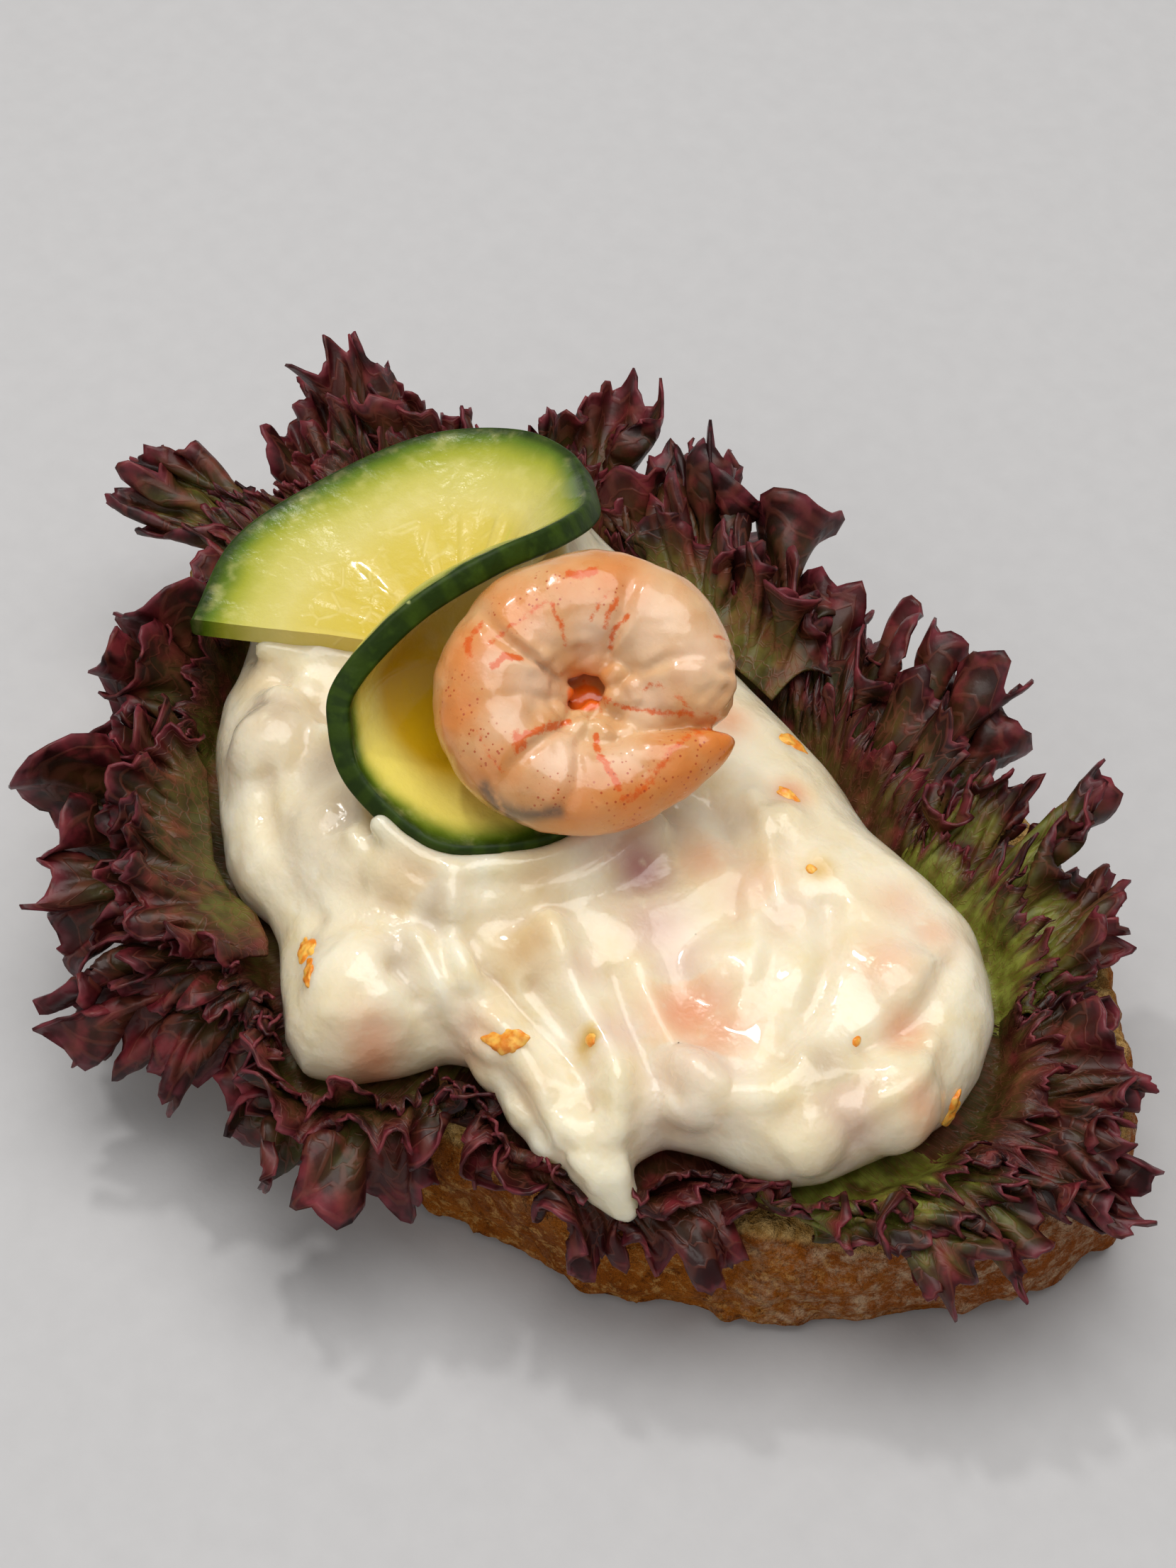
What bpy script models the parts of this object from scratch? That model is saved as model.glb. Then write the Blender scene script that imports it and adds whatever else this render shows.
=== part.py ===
# Open shrimp sandwich: a bread slice, torn frilly lettuce, a mound of shrimp salad,
# a twisted cucumber slice and one curled shrimp. Metres, +Z up, +X along the bread's length.
# The tables below are in millimetres and degrees. A bearing is measured from +X towards +Y.
import math

import bmesh
import bpy
import numpy as np
from mathutils import Vector, noise
from mathutils.bvhtree import BVHTree

MM = 0.001

# Bread: the slice lies on its cut face, with its outline as (bearing, reach) from the origin.
BREAD_THICKNESS = 15.0
BREAD_SEGMENTS = 56
BREAD_OUTLINE = ((0, 56.4), (6, 57.2), (15, 52.6), (40, 41.0), (65, 34.5), (90, 32.0), (120, 35.5),
                 (150, 45.5), (180, 55.5), (205, 51.0), (235, 42.5), (262, 38.2), (291, 37.7),
                 (309, 40.8), (326, 44.5), (345, 51.0))
# Rings of the bread from the bottom up, as (share of the reach, share of the thickness).
BREAD_SECTION = ((0.0, 0.0), (0.55, 0.0), (0.955, 0.0), (0.99, 0.07), (1.0, 0.26), (1.0, 0.5),
                 (0.997, 0.74), (0.988, 0.92), (0.965, 1.0), (0.86, 1.0), (0.62, 1.0), (0.32, 1.0),
                 (0.0, 1.0))
CRUST_RELIEF = 1.1
CRUMB_PITS = 0.5
CRAG_SIZE = 7.0
CUT_MARGIN = 0.9

# Lettuce: thin wavy leaves, tucked in a narrow space between the bread and the salad.
LEAF_THICKNESS = 0.8
TUCK_HEIGHT = 15.95
TUCK_DEPTH = 5.0
EDGE_GAP = 0.9
LEAF_ROWS = 4
# How a leaf's height follows its way out, as exponents: rising soon, or drooping late.
LIFT = 1.6
DROOP = 3.5
# Arch of a leaf and the spread and unevenness of its waves, as shares of their depth.
ARCH = 0.7
WAVE_START = 1.5
WAVE_SPREAD = 0.35
WAVE_CHANGE = 0.35
WAVE_WANDER = 1.3
UPPER_HEIGHT = 20.6

# Salad: a thick mound with its own centre, and its outline as (bearing, reach) from there.
SALAD_CENTRE = (2.0, -8.0)
SALAD_SEGMENTS = 60
SALAD_OUTLINE = ((6, 42.4), (19, 40.7), (31, 36.5), (43, 28.8), (65, 24.8), (91, 24.4), (112, 27.3),
                 (129, 34.7), (142, 45.5), (156, 49.5), (168, 49.0), (180, 44.0), (189, 39.4),
                 (205, 36.2), (217, 33.2), (233, 31.1), (241, 28.4), (256, 30.2), (271, 33.0),
                 (282, 27.9), (290, 23.8), (304, 28.1), (316, 30.6), (324, 32.6), (332, 31.2),
                 (343, 38.8), (353, 40.3))
# Rings of the salad from the underside up, as (share of the reach, inset, height).
SALAD_SECTION = ((0.0, 7.6, 15.3), (0.5, 7.6, 15.3), (1.0, 7.6, 15.3), (1.0, 6.4, 16.8),
                 (1.0, 1.9, 16.8), (1.0, 0.5, 17.7), (1.0, 0.0, 19.4), (1.0, 0.2, 21.2),
                 (1.0, 1.1, 23.0), (1.0, 2.6, 24.6), (1.0, 4.8, 25.8), (0.86, 4.8, 26.4),
                 (0.72, 4.8, 26.8), (0.58, 4.8, 26.8), (0.44, 4.8, 26.8), (0.30, 4.8, 26.8),
                 (0.15, 4.8, 26.8), (0.0, 4.8, 26.8))
# Heights where the lumps of the salad begin and where they are whole.
LUMP_HEIGHTS = (20.0, 25.0)
# The salad's top rises to the cucumber's underside where that is near enough above it.
SEAT_GAP = 0.4
SEAT_HIGHEST = 31.3
SEAT_PATCH = 3.0
# Lumps and hollows on the salad, as (x, y, radius, height).
SALAD_LUMPS = ((-25, -22, 5.0, 0.6), (-12, -27, 5.0, 0.8), (3, -33, 6.0, 1.0), (10, -23, 5.0, 0.7),
               (24, -16, 8.0, -1.0), (11, -16, 5.0, 0.9), (34, -1, 5.0, 1.9), (33, -13, 6.0, 1.2),
               (39, -12, 5.0, 0.8), (38, -4, 4.0, -0.9), (24, -26, 4.0, 1.2), (17, -26, 3.5, -1.3),
               (21, 2, 6.0, 1.0), (13, 7, 4.0, 0.8), (4, 10, 4.0, 0.6), (27, -7, 4.0, 1.0),
               (5, -38, 4.0, 1.3))

# Cucumber: a slit slice twisted into an S. Its centre, and its rim as (bearing, rise, reach).
CUCUMBER_CENTRE = (-16.7, -4.9, 28.9)
CUCUMBER_THICKNESS = 2.2
CUCUMBER_BORE = 0.12
CUCUMBER_BULGE = 3.2
BULGE_PLACE = 1.3
CUCUMBER_GRID = (46, 4)
CUCUMBER_RIM = ((217, 0, 25.2), (193, 0, 25.8), (170, 2, 25.0), (145, 3, 26.6), (125, 6, 26.4),
                (109, 12, 23.7), (94, 24, 19.9), (79, 38, 18.3), (60, 57, 17.0), (16, 75, 16.0),
                (289, 62, 16.0), (277, 35, 18.0), (281, 23, 19.1), (291, 12, 20.5), (310, 4, 23.0),
                (325, 3, 23.7), (341, 3, 23.6), (358, 4, 22.7))

# Shrimp: a curled body, as (bearing, reach, half width) along its back from the thick end.
SHRIMP_CENTRE = (0.3, -5.6, 38.6)
SHRIMP_FACING = 46.0
SHRIMP_TILT = 26.0
SHRIMP_FLATNESS = 0.88
SHRIMP_RINGS = 42
SHRIMP_SIDES = 16
SHRIMP_BODY = ((-10, 8.6, 0.0), (-8, 8.7, 3.0), (0, 8.8, 4.1), (12, 9.0, 4.6), (35, 9.0, 4.9),
               (70, 8.4, 5.1), (105, 7.8, 5.2), (140, 7.7, 5.2), (180, 7.9, 5.2), (215, 7.8, 5.0),
               (250, 7.8, 4.5), (282, 8.0, 4.1), (306, 8.4, 3.8), (325, 9.2, 3.6), (337, 10.6, 2.8),
               (344, 11.9, 1.7), (346, 12.6, 0.0))
SHRIMP_CREASES = (58, 100, 143, 186, 228, 268, 303)
CREASE_WIDTH = 7.0
CREASE_DEPTH = 0.09

# Each leaf: the bearings of its tuck from the salad's centre, its segments, its waves, their
# depth, its start in the wave, and its margin as (x, y, z). An upper leaf isn't tucked, but
# stands out from the side of the salad.
LEAVES = {
    "leaf_stalk": ((168, 174), 10, 1.5, 1.2, 0.0, (
        (-57, -8, 17), (-64, -10, 18), (-67, -7, 19), (-65, -4, 20), (-60, -2, 20))),
    "leaf_back_left": ((148, 164), 22, 3.0, 2.0, 1.0, (
        (-54, 3, 19), (-59, 6, 20), (-61, 12, 23), (-60, 15, 26), (-56, 18, 26), (-53, 14, 23),
        (-51, 18, 23), (-47, 22, 21), (-45, 21, 20))),
    "leaf_back": ((133, 143), 12, 1.5, 1.5, 0.5, (
        (-38, 25, 21), (-38, 28, 25), (-36, 32, 27), (-32, 35, 25), (-33, 32, 22))),
    "leaf_back_right": ((84, 128), 28, 4.0, 2.6, 0.0, (
        (-29, 27, 23), (-28, 32, 25), (-25, 34, 22), (-23, 37, 25), (-20, 36, 21), (-14, 38, 20),
        (-8, 36, 19))),
    "leaf_right_back": ((47, 80), 24, 3.5, 2.4, 2.0, (
        (-6, 36, 20), (-1, 35, 20), (5, 34, 21), (9, 35, 21), (14, 37, 22), (17, 36, 20),
        (19, 32, 18))),
    "leaf_right": ((24, 43), 20, 2.5, 2.0, 1.0, (
        (22, 22, 21), (24, 27, 24), (28, 27, 21), (32, 33, 24), (33, 27, 20), (39, 27, 19),
        (43, 21, 19), (43, 16, 19))),
    "leaf_end": ((4, 20), 22, 2.5, 1.6, 0.0, (
        (43, 12, 18), (46, 15, 20), (54, 13, 20), (54, 9, 18), (60, 5, 18), (63, 1, 16),
        (60, -1, 16))),
    "leaf_front_right": ((343, 360), 20, 2.5, 1.2, 0.6, (
        (59, -4, 17), (60, -8, 13), (57, -10, 16), (55, -15, 12), (52, -14, 16), (49, -16, 17),
        (46, -18, 16.5))),
    "leaf_front": ((293, 338), 30, 4.5, 1.4, 0.0, (
        (39, -22, 17), (40, -26, 13), (35, -30, 11), (29, -33, 12), (24, -34, 16), (20, -36, 16),
        (17, -35, 17))),
    "leaf_front_left": ((259, 288), 26, 4.0, 2.2, 0.5, (
        (16, -38, 15), (16, -42, 11), (10, -46, 11), (7, -48, 10), (2, -48, 12), (0, -46, 15),
        (-1, -43, 18))),
    "leaf_left_low": ((237, 254), 26, 3.5, 2.2, 0.0, (
        (-4, -42, 11), (-6, -45, 9), (-8, -49, 8), (-13, -50, 9), (-18, -54, 10), (-21, -53, 12),
        (-23, -50, 14))),
    "leaf_left": ((206, 232), 28, 4.5, 2.6, 0.0, (
        (-25, -48, 16), (-28, -49, 16), (-31, -44, 18), (-36, -41, 20), (-38, -35, 22),
        (-38, -31, 22))),
    "leaf_left_back": ((184, 201), 18, 3.0, 2.2, 1.0, (
        (-39, -29, 21), (-41, -28, 22), (-44, -26, 24), (-45, -22, 25), (-45, -17, 24),
        (-46, -14, 22))),
}
UPPER_LEAVES = {
    "leaf_left_upper": ((211, 249), 26, 4.0, 1.3, 0.5, (
        (-10, -41, 22.5), (-14, -43, 24), (-21, -43, 25), (-25, -39, 26), (-30, -38, 26),
        (-32, -32, 26), (-31, -27, 24.5))),
    "leaf_back_upper": ((90, 124), 20, 3.5, 1.2, 1.0, (
        (-22, 24, 25.5), (-17, 25, 27), (-12, 25, 26), (-8, 27, 27), (-3, 26, 26), (2, 25, 25.5))),
}

COLLECTION = "shrimp_sandwich"
SMOOTH_ANGLE = math.radians(50)


def loop_value(knots, bearing):
    """Smooth periodic curve through (bearing, value) knots, for an array of bearings."""
    x = np.array([k[0] for k in knots], float)
    y = np.array([k[1] for k in knots], float)
    x = np.concatenate((x[-2:] - 360, x, x[:2] + 360))
    y = np.concatenate((y[-2:], y, y[:2]))
    slope = np.gradient(y, x)
    start = x[1]
    b = (np.asarray(bearing, float) - start) % 360 + start
    i = np.clip(np.searchsorted(x, b, side="right") - 1, 0, len(x) - 2)
    span = x[i + 1] - x[i]
    t = (b - x[i]) / span
    return ((2 * t ** 3 - 3 * t ** 2 + 1) * y[i] + (t ** 3 - 2 * t ** 2 + t) * span * slope[i]
            + (3 * t ** 2 - 2 * t ** 3) * y[i + 1] + (t ** 3 - t ** 2) * span * slope[i + 1])


def path_value(rows, t):
    """Smooth open curve through rows of numbers, for an array t from 0 to 1."""
    rows = np.array(rows, float)
    slope = np.gradient(rows, axis=0)
    s = np.clip(np.asarray(t, float), 0, 1) * (len(rows) - 1)
    i = np.clip(s.astype(int), 0, len(rows) - 2)
    f = (s - i)[..., None]
    return ((2 * f ** 3 - 3 * f ** 2 + 1) * rows[i] + (f ** 3 - 2 * f ** 2 + f) * slope[i]
            + (3 * f ** 2 - 2 * f ** 3) * rows[i + 1] + (f ** 3 - f ** 2) * slope[i + 1])


def heading(bearing):
    """Unit vectors in plan for bearings in degrees."""
    angle = np.radians(bearing)
    return np.stack((np.cos(angle), np.sin(angle)), -1)


def roughness(points, size):
    """Smooth noise from -1 to 1 at points in millimetres, with lumps of about the given size."""
    return np.array([noise.noise(Vector(p) / size) for p in points])


def material(name, colour, rough):
    """Plain surface finish."""
    mat = bpy.data.materials.new(name)
    mat.use_nodes = True
    shader = mat.node_tree.nodes["Principled BSDF"]
    shader.inputs["Base Color"].default_value = (*colour, 1.0)
    shader.inputs["Roughness"].default_value = rough
    shader.inputs["Metallic"].default_value = 0.0
    return mat


def add_node(name, bm, mat):
    """Turn a bmesh in metres into a named object of the sandwich."""
    mesh = bpy.data.meshes.new(name)
    bm.to_mesh(mesh)
    bm.free()
    mesh.materials.append(mat)
    mesh.shade_smooth()
    mesh.set_sharp_from_angle(angle=SMOOTH_ANGLE)
    obj = bpy.data.objects.new(name, mesh)
    bpy.data.collections[COLLECTION].objects.link(obj)
    return obj


def shaped_ball(segments, rings, place):
    """Ball whose points place(bearing, ring) moves; ring 0 is the lower pole."""
    bm = bmesh.new()
    bmesh.ops.create_uvsphere(bm, u_segments=segments, v_segments=rings, radius=1.0)
    bmesh.ops.triangulate(bm, faces=bm.faces)
    points = np.array([v.co for v in bm.verts])
    bearing = np.degrees(np.arctan2(points[:, 1], points[:, 0])) % 360
    ring = np.rint(np.arccos(np.clip(-points[:, 2], -1, 1)) / math.pi * rings).astype(int)
    for vert, point in zip(bm.verts, place(bearing, ring)):
        vert.co = Vector(point) * MM
    bmesh.ops.recalc_face_normals(bm, faces=bm.faces)
    return bm


def bread_points(bearing, ring):
    """Crust and cut faces of the slice."""
    share, height = np.array(BREAD_SECTION)[ring].T
    plan = heading(bearing) * (loop_value(BREAD_OUTLINE, bearing) * share)[:, None]
    points = np.column_stack((plan, height * BREAD_THICKNESS))
    on_side = (height > 0.0) & (height < 1.0)
    crags = roughness(points, CRAG_SIZE) * CRUST_RELIEF
    points[:, :2] += heading(bearing) * (crags * on_side)[:, None]
    on_top = (height == 1.0) & (share < CUT_MARGIN)
    points[:, 2] -= np.abs(roughness(points, CRAG_SIZE)) * CRUMB_PITS * on_top
    return points


def make_bread():
    crust = material("bread_crust", (0.55, 0.33, 0.15), 0.85)
    bm = shaped_ball(BREAD_SEGMENTS, len(BREAD_SECTION) - 1, bread_points)
    return add_node("bread", bm, crust)


def salad_reach(bearing):
    """Reach of the salad's faceted outline."""
    corners = np.linspace(0, 360, SALAD_SEGMENTS + 1)
    return np.interp(np.asarray(bearing) % 360, corners, loop_value(SALAD_OUTLINE, corners))


def underside(obj, patch):
    """Function for the height of an object's underside, the lowest within a patch round x and y."""
    tree = BVHTree.FromObject(obj, bpy.context.evaluated_depsgraph_get())
    spots = [(0.0, 0.0)] + [tuple(patch * heading(bearing)) for bearing in range(0, 360, 45)]

    def height(x, y):
        starts = [Vector((x + dx, y + dy, BREAD_THICKNESS)) * MM for dx, dy in spots]
        hits = [tree.ray_cast(start, Vector((0, 0, 1)))[0] for start in starts]
        return min((hit.z / MM for hit in hits if hit), default=math.inf)

    return height


def salad_points(bearing, ring, lid):
    """Mound of salad: a flat foot on the bread, a ledge over the lettuce and a lumpy top."""
    share, inset, height = np.array(SALAD_SECTION)[ring].T
    reach = (loop_value(SALAD_OUTLINE, bearing) - inset) * share
    points = np.column_stack((heading(bearing) * reach[:, None] + SALAD_CENTRE, height))
    weight = np.interp(height, LUMP_HEIGHTS, (0, 1))
    for x, y, radius, lump in SALAD_LUMPS:
        distance = np.hypot(points[:, 0] - x, points[:, 1] - y)
        points[:, 2] += weight * lump * np.exp(-(distance / radius) ** 2)
    for i in np.flatnonzero(height > LUMP_HEIGHTS[1]):
        seat = lid(*points[i, :2]) - SEAT_GAP
        points[i, 2] = seat if seat < SEAT_HIGHEST else points[i, 2]
    return points


def make_salad(cucumber):
    cream = material("shrimp_salad", (0.85, 0.76, 0.58), 0.35)
    lid = underside(cucumber, SEAT_PATCH)
    bm = shaped_ball(SALAD_SEGMENTS, len(SALAD_SECTION) - 1,
                     lambda bearing, ring: salad_points(bearing, ring, lid))
    return add_node("salad", bm, cream)


def wavy_sheet(columns, rows, place):
    """Triangulated open sheet whose points place(u, v) moves, with u and v from 0 to 1."""
    bm = bmesh.new()
    bmesh.ops.create_grid(bm, x_segments=columns, y_segments=rows, size=0.5)
    bmesh.ops.triangulate(bm, faces=bm.faces)
    points = np.array([v.co for v in bm.verts])
    moved = place(points[:, 0] + 0.5, points[:, 1] + 0.5)
    for vert, point in zip(bm.verts, moved):
        vert.co = Vector(point) * MM
    return bm


def thicken(obj, thickness):
    """Solid of an even thickness, half on either side of the sheet."""
    solidify = obj.modifiers.new("thickness", "SOLIDIFY")
    solidify.thickness = thickness * MM
    solidify.offset = 0.0


def leaf_points(leaf, tucked):
    """Point function of one leaf, waving more and more towards its margin."""
    tuck, _, waves, depth, start, margin = leaf
    edge_row = 1 / (LEAF_ROWS + 1) if tucked else 0.0
    foot = TUCK_HEIGHT if tucked else UPPER_HEIGHT

    def place(u, v):
        bearing = tuck[1] + (tuck[0] - tuck[1]) * u
        reach = salad_reach(bearing) + EDGE_GAP
        edge = heading(bearing) * reach[:, None] + SALAD_CENTRE
        rim = path_value(margin, u)
        w = np.clip((v - edge_row) / (1 - edge_row), 0, 1)
        out = rim[:, :2] - edge
        plan = edge + out * w[:, None]
        if tucked:
            inside = np.clip(1 - v / edge_row, 0, 1)
            plan -= heading(bearing) * (inside * (TUCK_DEPTH + EDGE_GAP))[:, None]
        bend = np.where(rim[:, 2] < foot, DROOP, LIFT)
        rise = foot + (rim[:, 2] - foot) * w ** bend + ARCH * depth * np.sin(math.pi * w)
        phase = 2 * math.pi * waves * u + start
        phase += WAVE_WANDER * np.sin(2 * math.pi * u + start + 2 * w)
        wave = depth * w ** WAVE_START * (1 + WAVE_CHANGE * np.sin(math.sqrt(5) * phase + start))
        rise += wave * np.sin(phase)
        out /= np.linalg.norm(out, axis=1)[:, None]
        plan += out * (WAVE_SPREAD * wave * np.cos(phase))[:, None]
        return np.column_stack((plan, rise))

    return place


def make_leaves():
    red = material("red_lettuce", (0.10, 0.018, 0.03), 0.45)
    for name, leaf in (LEAVES | UPPER_LEAVES).items():
        bm = wavy_sheet(leaf[1], LEAF_ROWS + 1, leaf_points(leaf, name in LEAVES))
        thicken(add_node(name, bm, red), LEAF_THICKNESS)


def cucumber_points(u, v):
    """Slit slice as straight lines from its centre to the twisted rim."""
    bearing, rise, reach = np.array(CUCUMBER_RIM, float).T
    flat = np.cos(np.radians(rise)) * reach
    rim = np.column_stack((heading(bearing) * flat[:, None], np.sin(np.radians(rise)) * reach))
    rim = path_value(rim, u)
    share = CUCUMBER_BORE + (1 - CUCUMBER_BORE) * v
    points = np.array(CUCUMBER_CENTRE) + rim * share[:, None]
    raised = np.clip(rim[:, 2] / np.linalg.norm(rim, axis=1), 0, 1)
    points[:, 0] -= CUCUMBER_BULGE * raised * np.sin(math.pi * share ** BULGE_PLACE)
    return points


def make_cucumber():
    green = material("cucumber", (0.62, 0.72, 0.30), 0.25)
    cucumber = add_node("cucumber", wavy_sheet(*CUCUMBER_GRID, cucumber_points), green)
    thicken(cucumber, CUCUMBER_THICKNESS)
    return cucumber


def shrimp_points(bearing, ring):
    """Curled body: rings round a spiral back, with a crease between the segments."""
    where, reach, width = path_value(SHRIMP_BODY, ring / SHRIMP_RINGS).T
    for crease in SHRIMP_CREASES:
        width = width * (1 - CREASE_DEPTH * np.exp(-((where - crease) / CREASE_WIDTH) ** 2))
    around = np.radians(bearing)
    outward = heading(where)
    flat = outward * (reach + width * np.cos(around))[:, None]
    lift = width * SHRIMP_FLATNESS * np.sin(around)
    facing, tilt = math.radians(SHRIMP_FACING), math.radians(SHRIMP_TILT)
    right = np.array((math.cos(facing), math.sin(facing), 0.0))
    normal = np.array((math.sin(facing) * math.sin(tilt), -math.cos(facing) * math.sin(tilt),
                       math.cos(tilt)))
    away = np.cross(normal, right)
    return (np.array(SHRIMP_CENTRE) + flat[:, :1] * right + flat[:, 1:] * away
            + lift[:, None] * normal)


def make_shrimp():
    pink = material("shrimp", (0.85, 0.55, 0.42), 0.3)
    bm = shaped_ball(SHRIMP_SIDES, SHRIMP_RINGS, shrimp_points)
    return add_node("shrimp", bm, pink)


def main():
    for obj in list(bpy.data.objects):
        bpy.data.objects.remove(obj)
    collection = bpy.data.collections.new(COLLECTION)
    bpy.context.scene.collection.children.link(collection)
    make_bread()
    make_leaves()
    make_salad(make_cucumber())
    make_shrimp()


main()
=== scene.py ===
# Looks of an open shrimp sandwich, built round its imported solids.
# Sizes in the dictionaries are millimetres and degrees; a bearing runs from +X towards +Y.
import math

import bmesh
import bpy
import numpy as np
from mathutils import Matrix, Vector, noise
from mathutils.bvhtree import BVHTree


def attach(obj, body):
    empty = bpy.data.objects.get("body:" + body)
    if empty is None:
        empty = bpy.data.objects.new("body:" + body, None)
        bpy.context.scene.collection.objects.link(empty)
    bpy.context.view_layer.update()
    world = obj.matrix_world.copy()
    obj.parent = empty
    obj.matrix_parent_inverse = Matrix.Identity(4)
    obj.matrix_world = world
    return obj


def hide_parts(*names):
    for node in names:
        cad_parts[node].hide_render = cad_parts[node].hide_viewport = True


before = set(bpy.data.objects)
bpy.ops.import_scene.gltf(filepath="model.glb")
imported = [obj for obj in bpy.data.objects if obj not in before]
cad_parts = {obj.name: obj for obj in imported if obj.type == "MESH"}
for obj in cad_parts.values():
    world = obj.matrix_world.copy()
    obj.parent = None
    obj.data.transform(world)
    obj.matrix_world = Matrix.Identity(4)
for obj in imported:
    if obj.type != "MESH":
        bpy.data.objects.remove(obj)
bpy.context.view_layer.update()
mm = 0.001
print("frame loaded")


# Curves, noise and meshes that every piece uses

def pathValue(rows, t):  # smooth open curve through rows of numbers, t from 0 to 1
    rows = np.array(rows, float)
    slope = np.gradient(rows, axis=0)
    s = np.clip(np.asarray(t, float), 0, 1) * (len(rows) - 1)
    i = np.clip(s.astype(int), 0, len(rows) - 2)
    f = (s - i)[..., None]
    return ((2 * f ** 3 - 3 * f ** 2 + 1) * rows[i] + (f ** 3 - 2 * f ** 2 + f) * slope[i]
            + (3 * f ** 2 - 2 * f ** 3) * rows[i + 1] + (f ** 3 - f ** 2) * slope[i + 1])


def heading(bearing):
    angle = np.radians(bearing)
    return np.stack((np.cos(angle), np.sin(angle)), -1)


def lumps(points, size, seed=0.0):  # smooth noise from -1 to 1, with lumps of about that size
    flat = np.reshape(points, (-1, 3)) / size + seed
    return np.reshape([noise.noise(Vector(p)) for p in flat], np.shape(points)[:-1])


def ease(value, low, high):  # smooth step from 0 at low to 1 at high
    t = np.clip((value - low) / (high - low), 0, 1)
    return t * t * (3 - 2 * t)


def unit(vectors):
    return vectors / np.maximum(np.linalg.norm(vectors, axis=-1, keepdims=True), 1e-9)


def placed(name, data):  # a new object in the scene
    made = bpy.data.objects.new(name, data)
    bpy.context.scene.collection.objects.link(made)
    return made


def makePiece(name, points, faces, finish, marks):
    mesh = bpy.data.meshes.new(name)
    mesh.from_pydata((np.reshape(points, (-1, 3)) * mm).tolist(), [], faces)
    for mark, values in marks.items():  # numbers at each point that the finishes read
        layer = mesh.attributes.new(mark, "FLOAT", "POINT")
        layer.data.foreach_set("value", np.ravel(values).astype(np.float32))
    mesh.materials.append(finish)
    mesh.shade_smooth()
    return placed(name, mesh)


def gridFaces(rows, columns, start=0, looped=False):
    index = start + np.arange(rows * columns).reshape(rows, columns)
    if looped:
        index = np.concatenate((index, index[:, :1]), axis=1)
    quads = (index[:-1, :-1], index[:-1, 1:], index[1:, 1:], index[1:, :-1])
    return np.stack(quads, -1).reshape(-1, 4).tolist()


def dress(piece, node=None):  # rides on the one body, and stands for a solid
    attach(piece, "root")
    if node:
        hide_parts(node)


def treeOf(node):
    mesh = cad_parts[node].data
    mesh.calc_loop_triangles()
    return BVHTree.FromPolygons([v.co.copy() for v in mesh.vertices],
                                [tuple(t.vertices) for t in mesh.loop_triangles])


# Shader maths: one wrapped socket, so that finishes read as sums

class Wire:
    def __init__(self, tree, socket=None):
        self.tree, self.socket = tree, socket

    def node(self, kind, settings={}, inputs={}, output=0):
        made = self.tree.nodes.new("ShaderNode" + kind)
        for key, value in settings.items():
            if key == "stops":  # colour ramp as (place, colour)
                while len(made.color_ramp.elements) < len(value):
                    made.color_ramp.elements.new(1.0)
                for element, (place, colour) in zip(made.color_ramp.elements, value):
                    element.position, element.color = place, colour
            else:
                setattr(made, key, value)
        for key, value in inputs.items():
            if isinstance(value, Wire):
                self.tree.links.new(value.socket, made.inputs[key])
            else:
                made.inputs[key].default_value = value
        return Wire(self.tree, made.outputs[output])

    def sum(self, operation, *values):
        return self.node("Math", {"operation": operation}, dict(enumerate(values)))

    def __add__(self, other):
        return self.sum("ADD", self, other)

    def __sub__(self, other):
        return self.sum("SUBTRACT", self, other)

    def __rsub__(self, other):
        return self.sum("SUBTRACT", other, self)

    def __mul__(self, other):
        return self.sum("MULTIPLY", self, other)

    __radd__, __rmul__ = __add__, __mul__

    def between(self, low, high):  # 0 below low, 1 above high; low may be the greater
        return self.node("MapRange", {"interpolation_type": "SMOOTHSTEP"},
                         {0: self, 1: low, 2: high})

    def blend(self, low, high):  # colour low where this is 0, high where it is 1
        return self.node("Mix", {"data_type": "RGBA"}, {0: self, 6: low, 7: high}, output=2)

    def mark(self, name):
        return self.node("Attribute", {"attribute_name": name}, output=2)

    def speckle(self, size, detail=2.0, stretch=(1, 1, 1), rough=0.5):  # noise of a size in mm
        place = self.node("TexCoord", output=3)
        place = self.node("Mapping", {}, {0: place, 3: stretch})
        return self.node("TexNoise", {}, {"Vector": place, "Scale": 1000 / size, "Detail": detail,
                                          "Roughness": rough})

    def cells(self, size, feature="F1", output=0):  # distance in cells of a size in mm
        place = self.node("TexCoord", output=3)
        return self.node("TexVoronoi", {"feature": feature},
                         {"Vector": place, "Scale": 1000 / size}, output=output)


def tint(red, green, blue):  # screen colour to the shader's linear one
    return tuple(((c / 255 + 0.055) / 1.055) ** 2.4 if c > 10 else c / 3295
                 for c in (red, green, blue)) + (1.0,)


def newFinish(name, fixed):
    material = bpy.data.materials.new(name)
    material.use_nodes = True
    for socket, value in fixed.items():
        material.node_tree.nodes["Principled BSDF"].inputs[socket].default_value = value
    return material, Wire(material.node_tree)


def feed(material, **links):  # baseColor, roughness, bump = (height, strength, distance in mm)
    tree = material.node_tree
    shader = tree.nodes["Principled BSDF"]
    if "bump" in links:
        height, strength, distance = links.pop("bump")
        links["normal"] = height.node("Bump", {}, {"Height": height, "Strength": strength,
                                                   "Distance": distance * mm})
    names = {"baseColor": "Base Color", "roughness": "Roughness", "normal": "Normal",
             "coat": "Coat Weight"}
    for key, wire in links.items():
        tree.links.new(wire.socket, shader.inputs[names[key]])


# Bread

bread = {"voxel": 0.56, "swellSize": 8.0, "swell": 0.5, "cragSize": 3.2, "crag": 0.7,
         "grainSize": 1.2, "grain": 0.3, "poreSize": 2.6, "poreWidth": 0.34, "poreDepth": 0.8,
         "tearSize": 2.4, "tear": 1.1, "tearHeight": 3.5}


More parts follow.
